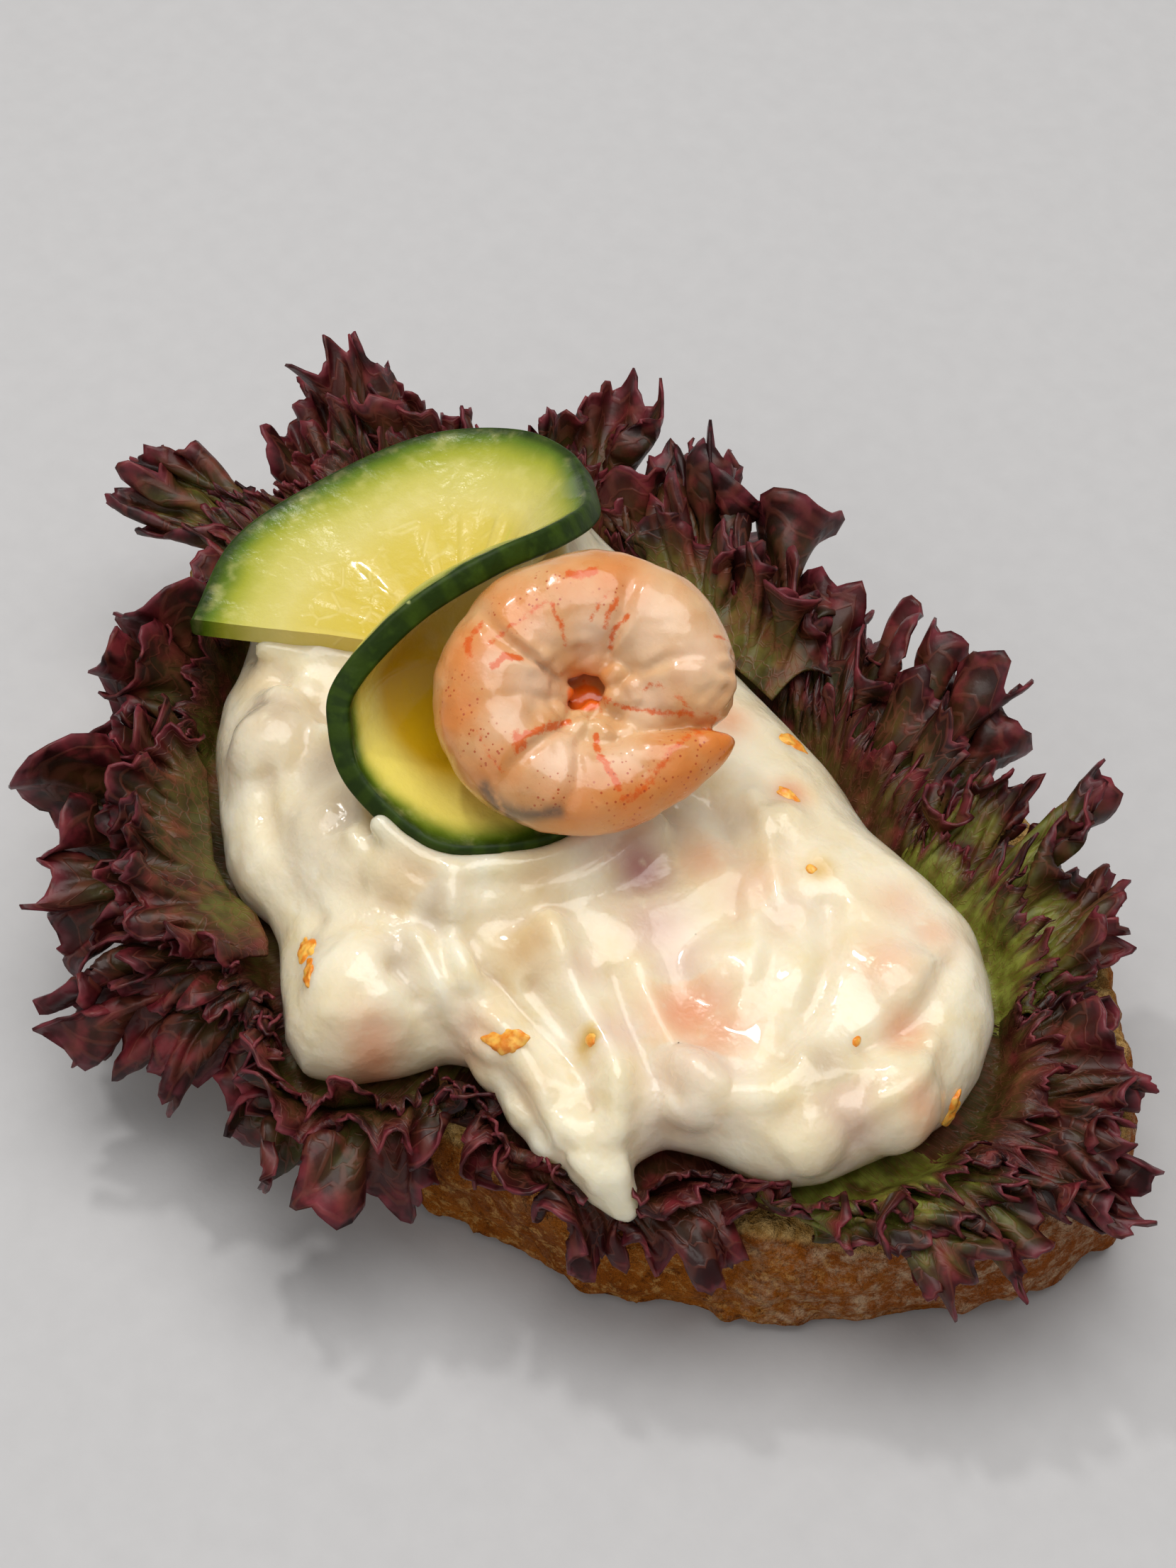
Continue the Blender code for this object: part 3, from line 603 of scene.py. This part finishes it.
def shrimpFinish():
    material, w = newFinish("cookedShrimp", {
        "Subsurface Weight": 0.5, "Subsurface Radius": (0.0046, 0.0026, 0.0018),
        "Coat Weight": 0.5, "Coat Roughness": 0.08, "IOR": 1.4})
    meat = w.speckle(5, 2).between(0.35, 0.65).blend(tint(202, 143, 82), tint(216, 174, 124))
    colour = (w.mark("warm") * 0.85).blend(meat, tint(220, 120, 26))
    colour = (w.mark("pale") * 0.75).blend(colour, tint(232, 200, 172))
    ragged = w.speckle(0.7, 4, rough=0.7)
    streak = (w.mark("streak") + (ragged - 0.5) * 1.8).between(0.4, 0.85)
    colour = (streak * 0.9).blend(colour, tint(212, 90, 0))
    pit = (w.mark("pit") + (w.speckle(1.6, 3) - 0.5) * 0.8).between(0.3, 0.8)
    colour = (pit * 0.95).blend(colour, tint(226, 98, 12))
    dots = w.cells(0.5).between(0.27, 0.18) * w.cells(0.5, output=1).between(0.25, 0.35)
    colour = (dots * w.mark("dotted").between(0.3, 0.75) * 0.85).blend(colour, tint(176, 66, 16))
    vein = w.mark("vein") * w.speckle(1.8, 3).between(0.25, 0.5)
    colour = vein.blend(colour, tint(88, 76, 64))
    feed(material, baseColor=colour, roughness=w.speckle(2.5, 3) * 0.25 + 0.16,
         bump=(w.speckle(0.8, 3) + w.speckle(2.2, 2), 0.2, 0.3))
    return material


def makeShrimp():
    rings, sides = shrimp["rings"], shrimp["sides"]
    t, around = np.meshgrid(np.linspace(0, 1, rings), np.linspace(0, 2 * math.pi, sides, False),
                            indexing="ij")
    where, reach, width = np.moveaxis(pathValue(shrimp["body"], t), -1, 0)
    inner = 0.5 - 0.5 * np.cos(around)  # 1 towards the middle of the curl
    crease = np.zeros_like(width)
    for number, place in enumerate(shrimp["creases"]):
        shifted = where - place + 6 * np.sin(around * 2 + number * 2.2) * (1 - inner)
        depth = 0.6 + 0.5 * math.sin(number * 2.6)
        lip = np.exp(-((shifted + 7) / 7) ** 2) * 0.35
        crease = crease + depth * (np.exp(-(shifted / shrimp["creaseWidth"]) ** 2) - lip)
    width = width * (1 - shrimp["creaseDepth"] * crease * (0.1 + 1.2 * inner))
    facing, tilt = math.radians(shrimp["facing"]), math.radians(shrimp["tilt"])
    right = np.array((math.cos(facing), math.sin(facing), 0.0))
    normal = np.array((math.sin(facing) * math.sin(tilt), -math.cos(facing) * math.sin(tilt),
                       math.cos(tilt)))
    own = np.stack((right, np.cross(normal, right), normal))  # the shrimp's own axes
    centre = np.array(shrimp["centre"])
    flat = heading(where) * (reach + width * np.cos(around))[..., None]
    lift = width * shrimp["flatness"] * np.sin(around)
    tube = np.concatenate((flat, lift[..., None]), -1) @ own + centre
    mesh = bpy.data.meshes.new("tube")
    mesh.from_pydata((tube.reshape(-1, 3) * mm).tolist(), [], gridFaces(rings, sides, looped=True))
    bm = bmesh.new()
    bm.from_mesh(mesh)
    bmesh.ops.remove_doubles(bm, verts=bm.verts, dist=0.00001)
    bmesh.ops.recalc_face_normals(bm, faces=bm.faces)
    bm.to_mesh(mesh)
    bm.free()
    flesh = [(*(np.array(ball[:3]) @ own + centre), ball[3]) for ball in shrimp["flesh"]]
    points, normals, faces = remeshed(mesh, shrimp["voxel"], 4, flesh)
    local = (points - centre) @ own.T
    spread = np.hypot(local[:, 0], local[:, 1])
    middle = 1 - ease(spread, 3.5, 7.0)
    end = ease(local[:, 0], 8.5, 12.5) * ease(local[:, 1], -2.5, -0.5) * (
        1 - ease(local[:, 1], 2.0, 5.0))  # the torn thick end
    bump = lumps(points, shrimp["swellSize"], 4) * shrimp["swell"]
    bump = bump + lumps(points, shrimp["grainSize"], 8) * shrimp["grain"]
    bump = bump + middle * lumps(points, 1.5, 2) * 0.4 + end * lumps(points, 1.4, 6) * 0.6
    points = points + normals * bump[:, None]
    top = ease(normals @ normal, -0.2, 0.3)

    def zones(rows):
        out = np.zeros(len(points))
        for x, y, radius, *strength in rows:
            away = np.hypot(local[:, 0] - x, local[:, 1] - y)
            out = np.maximum(out, np.exp(-(away / radius) ** 2) * (strength or [1.0])[0])
        return out

    streak = 0.4 * middle * (1 - ease(spread, 1.5, 3.5))
    for path, width, strength in shrimp["streaks"]:
        streak = np.maximum(streak, nearPath(local, path, width * 1.35) * strength * top)
    holeX, holeY = shrimp["hole"]
    pit = 1 - ease(np.hypot(local[:, 0] - holeX, local[:, 1] - holeY), 1.0, 2.1)
    pit = pit * (1 - ease(local[:, 2], 1.0, 2.6))
    band = nearPath(local, shrimp["greyLine"], 0.55)
    under = ease(-normals @ normal, -0.1, 0.5) * 0.4
    marks = {"warm": np.clip(zones(shrimp["warmth"]) + under, 0, 1), "streak": streak, "pit": pit,
             "dotted": zones(shrimp["dotted"]), "vein": band * 0.8,
             "pale": zones(shrimp["pale"])}
    piece = makePiece("curledShrimp", points, faces, shrimpFinish(), marks)
    dress(piece, "shrimp")
    print("shrimp", len(faces), "faces")


# Lettuce

lettuce = {"thickness": 0.28, "centre": (2.0, -8.0), "tuckHeight": 15.95, "upperHeight": 20.6,
           "tuckDepth": 5.0, "edgeGap": 0.9, "lift": 1.6, "droop": 3.5, "arch": 0.7,
           "waveStart": 1.5, "waveSpread": 0.35, "waveChange": 0.35, "waveWander": 1.3,
           "rows": 30, "cell": 0.46, "steps": 200, "growth": 2.2, "room": (3.4, 3.4, 5.0),
           "tooth": 2.5, "toothDepth": 1.3, "fineDepth": 0.5, "lobeDepth": 2.2, "bay": 10.0,
           "bayDepth": 0.24, "foldSize": 8.0, "fold": 2.2, "creaseSize": 3.6, "crease": 0.9,
           # points that many steps apart keep that share of their distance: no sheet folds flat
           "bendAlong": ((2, 0.96), (4, 0.90), (8, 0.72)), "bendAcross": ((2, 0.98), (4, 0.90)),
           "damping": 0.8, "step": 0.42, "lowest": 1.2,
           "edges": ((-69.8, 66.4), (-56.9, 40.2), (0.0, 46.0))}

lowPly = (0.45, 3.0, 1.7, True)  # the innermost ply of most leaves

# each leaf as in the solids, with its share of green and its inner plies as (share of the way
# out, lift, growth of the margin, whether it is widened towards its neighbours)
leaves = {
    "leaf_stalk": dict(
        tuck=(168, 174), waves=1.5, depth=1.2, start=0, green=0.5,
        plies=[(0.6, 1.6, 1.8, True), lowPly],
        margin=((-57, -8, 17), (-64, -10, 18), (-67, -7, 19), (-65, -4, 20), (-60, -2, 20))),
    "leaf_back_left": dict(
        tuck=(148, 164), waves=3, depth=2, start=1, green=0.2,
        plies=[(0.7, 2.2, 1.9, True), lowPly],
        margin=((-54, 3, 19), (-59, 6, 20), (-61, 12, 23), (-60, 15, 26), (-56, 18, 26),
                (-53, 14, 23), (-51, 18, 23), (-47, 22, 21), (-45, 21, 20))),
    "leaf_back": dict(
        tuck=(133, 143), waves=1.5, depth=1.5, start=0.5, green=0.3,
        plies=[(0.6, 1.6, 1.8, True), lowPly],
        margin=((-38, 25, 21), (-38, 28, 25), (-36, 32, 27), (-32, 35, 25), (-33, 32, 22))),
    "leaf_back_right": dict(
        tuck=(84, 128), waves=4, depth=2.6, start=0, green=0.2,
        plies=[(0.72, 2.5, 1.9, True), lowPly],
        margin=((-29, 27, 23), (-28, 32, 25), (-25, 34, 22), (-23, 37, 25), (-20, 36, 21),
                (-14, 38, 20), (-8, 36, 19))),
    "leaf_right_back": dict(
        tuck=(47, 80), waves=3.5, depth=2.4, start=2, green=0.2,
        plies=[(0.72, 2.5, 1.9, True), lowPly],
        margin=((-6, 36, 20), (-1, 35, 20), (5, 34, 21), (9, 35, 21), (14, 37, 22), (17, 36, 20),
                (19, 32, 18))),
    "leaf_right": dict(
        tuck=(24, 43), waves=2.5, depth=2, start=1, green=0.9,
        plies=[(0.95, 0.8, 1.9, True), (0.5, 2.8, 1.7, True)],
        margin=((22, 22, 21), (24, 27, 24), (28, 27, 21), (32, 33, 24), (33, 27, 20), (39, 27, 19),
                (43, 21, 19), (43, 16, 19))),
    "leaf_end": dict(
        tuck=(4, 20), waves=2.5, depth=1.6, start=0, green=0.12,
        plies=[(0.92, 0.8, 1.9, True), (0.5, 2.8, 1.7, True)],
        margin=((43, 12, 18), (46, 15, 20), (54, 13, 20), (54, 9, 18), (60, 5, 18), (63, 1, 16),
                (60, -1, 16))),
    "leaf_front_right": dict(
        tuck=(343, 360), waves=2.5, depth=1.2, start=0.6, green=0.8,
        plies=[(0.7, 1.6, 1.9, True), lowPly],
        margin=((59, -4, 17), (60, -8, 13), (57, -10, 16), (55, -15, 12), (52, -14, 16),
                (49, -16, 17), (46, -18, 16.5))),
    "leaf_front": dict(
        tuck=(293, 338), waves=4.5, depth=1.4, start=0, green=0.05,
        plies=[(0.65, 1.8, 1.9, True), lowPly],
        margin=((39, -22, 17), (40, -26, 13), (35, -30, 11), (29, -33, 12), (24, -34, 16),
                (20, -36, 16), (17, -35, 17))),
    "leaf_front_left": dict(
        tuck=(259, 288), waves=4, depth=2.2, start=0.5, green=0.2,
        plies=[(0.72, 2.4, 1.9, True), (0.45, 3.4, 1.9, False)],
        margin=((16, -38, 15), (16, -42, 11), (10, -46, 11), (7, -48, 10), (2, -48, 12),
                (0, -46, 15), (-1, -43, 18))),
    "leaf_left_low": dict(
        tuck=(237, 254), waves=3.5, depth=2.2, start=0, green=0.15,
        plies=[(0.72, 2.6, 1.9, True), (0.5, 4, 1.9, False)],
        margin=((-4, -42, 11), (-6, -45, 9), (-8, -49, 8), (-13, -50, 9), (-18, -54, 10),
                (-21, -53, 12), (-23, -50, 14))),
    "leaf_left": dict(
        tuck=(206, 232), waves=4.5, depth=2.6, start=0, green=0.25,
        plies=[(0.72, 2.6, 1.9, True), lowPly],
        margin=((-25, -48, 16), (-28, -49, 16), (-31, -44, 18), (-36, -41, 20), (-38, -35, 22),
                (-38, -31, 22))),
    "leaf_left_back": dict(
        tuck=(184, 201), waves=3, depth=2.2, start=1, green=0.2,
        plies=[(0.92, 0.8, 1.9, True), (0.5, 2.6, 1.7, True)],
        margin=((-39, -29, 21), (-41, -28, 22), (-44, -26, 24), (-45, -22, 25), (-45, -17, 24),
                (-46, -14, 22))),
    "leaf_left_upper": dict(
        tuck=(211, 249), waves=4, depth=1.3, start=0.5, green=0.2,
        plies=[],
        margin=((-10, -41, 22.5), (-14, -43, 24), (-21, -43, 25), (-25, -39, 26), (-30, -38, 26),
                (-32, -32, 26), (-31, -27, 24.5))),
    "leaf_back_upper": dict(
        tuck=(90, 124), waves=3.5, depth=1.2, start=1, green=0.3,
        plies=[],
        margin=((-22, 24, 25.5), (-17, 25, 27), (-12, 25, 26), (-8, 27, 27), (-3, 26, 26),
                (2, 25, 25.5))),
}


def leafFinish():
    material, w = newFinish("redLettuce", {"Specular IOR Level": 0.27})
    veins = w.node("TexVoronoi", {"feature": "DISTANCE_TO_EDGE"},
                   {"Vector": w.node("UVMap", {"uv_map": "blade"}), "Scale": 0.45})
    vein = veins.between(0.09, 0.02)
    dark = w.speckle(7, 3).between(0.35, 0.65).blend(tint(34, 5, 8), tint(64, 12, 16))
    colour = (w.speckle(3.0, 4).between(0.5, 0.72) * 0.8).blend(dark, tint(114, 34, 41))
    fresh = w.speckle(1.8, 3).between(0.3, 0.7).blend(tint(92, 92, 24), tint(134, 140, 58))
    colour = (w.mark("green") * 1.5 * w.speckle(5, 3).between(0.25, 0.5)).blend(colour, fresh)
    colour = (vein * 0.3).blend(colour, tint(118, 62, 48))
    # lighter pink along the margins: partly the margins' own colour, partly a painted highlight
    colour = (w.mark("edge") * w.speckle(2.2, 2).between(0.4, 0.6) * 0.4).blend(
        colour, tint(148, 62, 74))
    feed(material, baseColor=colour, roughness=w.speckle(3, 3) * 0.25 + 0.27,
         bump=(vein * 0.4 + w.speckle(1.4, 3) * 0.8, 0.4, 0.22))
    return material


saladTree = treeOf("salad")


def saladReach(bearing):  # out to the salad's side, from its centre
    start = Vector((*lettuce["centre"], 19.4)) * mm
    reach = [saladTree.ray_cast(start, Vector((*heading(b), 0)))[3] / mm for b in np.ravel(bearing)]
    return np.reshape(reach, np.shape(bearing))


def leafForm(leaf, reach, u, w, tucked):  # the solid's own sheet; w is 0 at the salad, 1 outside
    tuck = leaf["tuck"]
    bearing = tuck[1] + (tuck[0] - tuck[1]) * u
    foot = lettuce["tuckHeight"] if tucked else lettuce["upperHeight"]
    edge = heading(bearing) * reach[..., None] + lettuce["centre"]
    rim = pathValue(leaf["margin"], u)
    out = rim[..., :2] - edge
    far = np.clip(w, 0, None)
    plan = edge + out * far[..., None]
    plan = plan + heading(bearing) * (np.clip(w, None, 0) * lettuce["tuckDepth"])[..., None]
    bend = np.where(rim[..., 2] < foot, lettuce["droop"], lettuce["lift"])
    depth = leaf["depth"]
    rise = foot + (rim[..., 2] - foot) * far ** bend
    rise = rise + lettuce["arch"] * depth * np.sin(math.pi * np.clip(w, 0, 1))
    phase = 2 * math.pi * leaf["waves"] * u + leaf["start"]
    phase = phase + lettuce["waveWander"] * np.sin(2 * math.pi * u + leaf["start"] + 2 * far)
    change = 1 + lettuce["waveChange"] * np.sin(math.sqrt(5) * phase + leaf["start"])
    wave = depth * far ** lettuce["waveStart"] * change
    rise = rise + wave * np.sin(phase)
    plan = plan + unit(out) * (lettuce["waveSpread"] * wave * np.cos(phase))[..., None]
    return np.concatenate((plan, rise[..., None]), -1)


def pairs(grid, down, right):  # both ends of the links that reach so many rows and columns
    low, high = grid[:len(grid) - down], grid[down:]
    if right < 0:
        return low[:, -right:], high[:, :right]
    return low[:, :low.shape[1] - right], high[:, right:]


def grown(start, growth, hold, room):  # a sheet grows along its rows, and so buckles into frills
    along = np.linalg.norm(np.diff(start, axis=1), axis=-1)
    across = np.linalg.norm(np.diff(start, axis=0), axis=-1)
    extra = along * (growth[:, 1:] - 1)
    links = []  # rows down, columns right, stiffness, rest length and its growth, push only
    links.append((0, 1, 1.0, along, extra, False))
    links.append((1, 0, 1.0, across, 0 * across, False))
    for reach, share in lettuce["bendAlong"]:
        span = [np.lib.stride_tricks.sliding_window_view(a, reach, axis=1).sum(-1) * share
                for a in (along, extra)]
        links.append((0, reach, 0.7, span[0], span[1], True))
    for reach, share in lettuce["bendAcross"]:
        span = np.lib.stride_tricks.sliding_window_view(across, reach, axis=0).sum(-1) * share
        links.append((reach, 0, 0.5, span, 0 * span, True))
    points, speed = start.copy(), np.zeros_like(start)
    steps = lettuce["steps"]
    for step in range(steps):
        share = min(1.0, 1.3 * step / steps)
        move = np.zeros_like(points)
        long = along + extra * share
        slant = np.hypot(0.5 * (long[1:] + long[:-1]), 0.5 * (across[:, 1:] + across[:, :-1]))
        slants = [(1, 1, 0.4, slant, 0, False), (1, -1, 0.4, slant, 0, False)]
        for down, right, stiff, rest, more, push in links + slants:
            a, b = pairs(points, down, right)
            gap = b - a
            error = 1 - (rest + more * share) / np.maximum(np.linalg.norm(gap, axis=-1), 1e-6)
            if push:
                error = np.minimum(error, 0)
            shift = gap * (0.5 * stiff * np.clip(error, -1, 1))[..., None]
            a, b = pairs(move, down, right)
            a += shift
            b -= shift
        speed = lettuce["damping"] * speed + lettuce["step"] * move
        points = points + speed
        offset = (points - start) * (1 - hold)
        length = np.linalg.norm(offset / room, axis=-1, keepdims=True)
        points = start + offset / np.maximum(length, 1)
    return points


def teeth(turns, sharp):  # pointed tips between round bays, from 0 to 1
    return np.abs(2 * (turns % 1) - 1) ** sharp


def cutRows(points, share):  # each column of a sheet ends at its own share of the way
    rows = len(points)
    place = np.linspace(0, rows - 1, rows)[:, None] * share
    low = np.clip(place.astype(int), 0, rows - 2)
    part = (place - low)[..., None]
    column = np.arange(points.shape[1])[None, :]
    return points[low, column] * (1 - part) + points[low + 1, column] * part


def leafPly(name, leaf, rng, share, lift, growth, columns, rows):
    tucked = not name.endswith("_upper")
    t = np.linspace(0, 1, rows)
    u, v = np.meshgrid(np.linspace(0, 1, columns), t * (1.3 - 0.3 * t))
    first = 0.1 if tucked else 0.0
    way = np.where(v < first, v / max(first, 1e-6) - 1, (v - first) / (1 - first))
    tuck = leaf["tuck"]
    reach = saladReach(tuck[1] + (tuck[0] - tuck[1]) * u[0]) + lettuce["edgeGap"]
    reach = np.broadcast_to(reach, u.shape)
    rim = pathValue(leaf["margin"], u[0])
    span = np.linalg.norm(np.diff(rim, axis=0), axis=1).sum()
    a, b, c, d = rng.uniform(0, 1, 4)
    wobble = 0.25 * np.sin(2 * math.pi * (1.7 * u + a)) + 0.2 * np.sin(2 * math.pi * (2.9 * u + b))
    bay = teeth(max(2, round(span / lettuce["bay"])) * u + c + wobble * 0.6, 1.0)
    sides = ease(u, 0, 0.07) * ease(u, 1, 0.93)  # the leaf's own corners are cut away
    outline = share * (0.92 + lettuce["bayDepth"] * bay) * (0.78 + 0.22 * sides)
    outline = np.minimum(outline, share * 1.04)
    far = np.clip(way, 0, 1)
    sheet = leafForm(leaf, reach, u, way * np.where(way > 0, outline, 1), tucked)
    sheet[..., 2] += lift * ease(far, 0, 0.6)
    normal = unit(np.cross(np.gradient(sheet, axis=1), np.gradient(sheet, axis=0)))
    seed = a * 30
    push = lumps(sheet, lettuce["foldSize"], seed) * lettuce["fold"]
    push = push + lumps(sheet, lettuce["creaseSize"], seed + 5) * lettuce["crease"]
    sheet = sheet + normal * (push * ease(far, 0.1, 0.8))[..., None]
    curl = 0.95 + 0.4 * np.sin(2 * math.pi * (2.3 * u + c)) * np.sin(2 * math.pi * (1.3 * u + d))
    more = 1 + (growth - 1) * curl * ease(far, 0.3, 1.0) ** 1.2
    hold = (1 - ease(far, 0.0, 0.45)) ** 2
    room = np.array(lettuce["room"]) * (0.25 + far)[..., None]
    points = grown(sheet, more, hold[..., None], room)
    tips = max(5, round(span * growth / lettuce["tooth"]))
    turns = tips * u[0] + d + 1.6 * wobble[0]
    lobe = teeth(turns / 3.1 + 1.5 * wobble[1] + a, 1.6)
    tip = teeth(turns, 1.4) * (0.6 + 0.4 * np.sin(turns * 2.1 + b * 6))
    cut = lettuce["toothDepth"] * (1 - tip) + lettuce["lobeDepth"] * (1 - lobe)
    cut = cut + lettuce["fineDepth"] * teeth(turns * 2.6 + 0.4 * np.sin(turns * 5), 1.2)
    points = cutRows(points, 1 - cut / (share * 14))
    points[..., 2] = np.maximum(points[..., 2], lettuce["lowest"])
    for axis, (low, high) in enumerate(lettuce["edges"]):
        points[..., axis] = np.clip(points[..., axis], low, high)
    green = leaf["green"] * (1 - ease(far, 0.35, 1.0)) * (0.9 + 0.7 * lumps(points, 9, 4))
    # the edge mark carries the lighter margins, partly their own colour, partly a painted highlight
    marks = {"green": np.clip(green, 0, 1), "edge": ease(far, 0.9, 1.0)}
    blade = np.stack((u * span * 1.6, far * 18), -1)
    return points, marks, blade


def widened(names, name):  # the leaf with half of the gap to its neighbours
    leaf = leaves[name]
    place = names.index(name)
    before, after = leaves[names[place - 1]], leaves[names[(place + 1) % len(names)]]
    low, high = leaf["tuck"]
    gapBefore, gapAfter = (before["tuck"][0] - high) % 360, (low - after["tuck"][1]) % 360
    ends = [np.array(before["margin"][-1]), np.array(leaf["margin"][0]),
            np.array(leaf["margin"][-1]), np.array(after["margin"][0])]
    margin = (tuple((ends[0] + ends[1]) / 2),) + leaf["margin"] + (tuple((ends[2] + ends[3]) / 2),)
    return dict(leaf, tuck=(low - gapAfter / 2 - 1, high + gapBefore / 2 + 1), margin=margin)


def makeLeaves():
    finish = leafFinish()
    total = 0
    around = [name for name in leaves if not name.endswith("_upper")]
    for number, (name, leaf) in enumerate(leaves.items()):
        rng = np.random.default_rng(number + 11)
        allPoints, faces, marks, blades = [], [], {"green": [], "edge": []}, []
        count = 0
        for share, lift, growth, wide in [(1.0, 0.0, lettuce["growth"], False)] + leaf["plies"]:
            form = widened(around, name) if wide else leaf
            rim = pathValue(form["margin"], np.linspace(0, 1, 60))
            span = np.linalg.norm(np.diff(rim, axis=0), axis=1).sum()
            columns = int(span * growth / lettuce["cell"])
            rows = int(lettuce["rows"] * (0.45 + 0.55 * share))
            points, plyMarks, blade = leafPly(name, form, rng, share, lift, growth, columns, rows)
            allPoints.append(points.reshape(-1, 3))
            blades.append(blade.reshape(-1, 2))
            for mark in marks:
                marks[mark].append(plyMarks[mark].ravel())
            faces += gridFaces(rows, columns, start=count)
            count += rows * columns
        marks = {mark: np.concatenate(rows) for mark, rows in marks.items()}
        piece = makePiece("frill" + name[4:], np.concatenate(allPoints), faces, finish, marks)
        layer = piece.data.uv_layers.new(name="blade")
        corners = np.array([loop.vertex_index for loop in piece.data.loops])
        layer.data.foreach_set("uv", np.concatenate(blades)[corners].ravel())
        solid = piece.modifiers.new("thickness", "SOLIDIFY")
        solid.thickness, solid.offset = lettuce["thickness"] * mm, 0.0
        dress(piece, name)
        total += len(faces)
    print("lettuce", total, "faces a side")


# Camera, light and floor

view = {"azimuth": 46.0, "elevation": 52.0, "distance": 307.2, "target": (-6.0, 1.0, 15.0),
        "lens": 75.0}

# the studio's sizes are metres; each light is its place towards the camera, to its right and
# up, its size, its power and its colour
studio = {
    "lights": {"keyLight": ((-0.06, 0.06, 0.7), 0.6, 3.8, (1.0, 0.98, 0.95)),
               "sparkLight": ((-0.3, -0.2, 0.6), 0.05, 0.85, (1.0, 0.98, 0.95)),
               "fillLight": ((0.6, -0.5, 0.55), 0.9, 1.6, (1.0, 0.98, 0.96))},
    "world": (1.0, 0.98, 0.95, 1), "worldStrength": 0.32,
    "floor": ((182, 182, 184), (190, 190, 192)), "floorWidth": 3.0, "floorDrop": 0.0002,
}


def makeCamera():
    a, e = math.radians(view["azimuth"]), math.radians(view["elevation"])
    back = Vector((math.sin(a) * math.cos(e), -math.cos(a) * math.cos(e), math.sin(e)))
    lens = bpy.data.cameras.new("camera")
    lens.lens, lens.sensor_width, lens.clip_start = view["lens"], 36.0, 0.01
    camera = placed("camera", lens)
    camera.location = (Vector(view["target"]) + back * view["distance"]) * mm
    camera.rotation_euler = (-back).to_track_quat("-Z", "Y").to_euler()
    bpy.context.scene.camera = camera
    return back


def areaLight(name, place, size, power, colour):
    lamp = bpy.data.lights.new(name, "AREA")
    lamp.size, lamp.energy, lamp.color = size, power, colour
    light = placed(name, lamp)
    light.location = place
    light.rotation_euler = (Vector((0, 0, 0.02)) - place).to_track_quat("-Z", "Y").to_euler()


def makeStudio():
    back = makeCamera()
    up = Vector((0, 0, 1))
    side = up.cross(back).normalized()
    flat = Vector((back.x, back.y, 0)).normalized()
    for name, ((near, right, high), size, power, colour) in studio["lights"].items():
        areaLight(name, flat * near + side * right + up * high, size, power, colour)
    world = bpy.data.worlds.new("studio")
    world.use_nodes = True
    background = world.node_tree.nodes["Background"].inputs
    background[0].default_value = studio["world"]
    background[1].default_value = studio["worldStrength"]
    bpy.context.scene.world = world
    bpy.context.scene.view_settings.view_transform = "Standard"  # keeps the foods' own colours
    bpy.ops.mesh.primitive_plane_add(size=studio["floorWidth"],
                                     location=(0, 0, -studio["floorDrop"]))
    floor = bpy.context.active_object
    floor.name = "floor"
    material, w = newFinish("paleFloor", {"Roughness": 0.6})
    dark, light = (tint(*colour) for colour in studio["floor"])
    feed(material, baseColor=w.speckle(3, 3).blend(dark, light),
         bump=(w.speckle(0.9, 2), 0.1, 0.2))
    floor.data.materials.append(material)
    print("studio set")


makeStudio()
makeBread()
makeCucumber()
saladStrips(makeSalad())
makeShrimp()
makeLeaves()
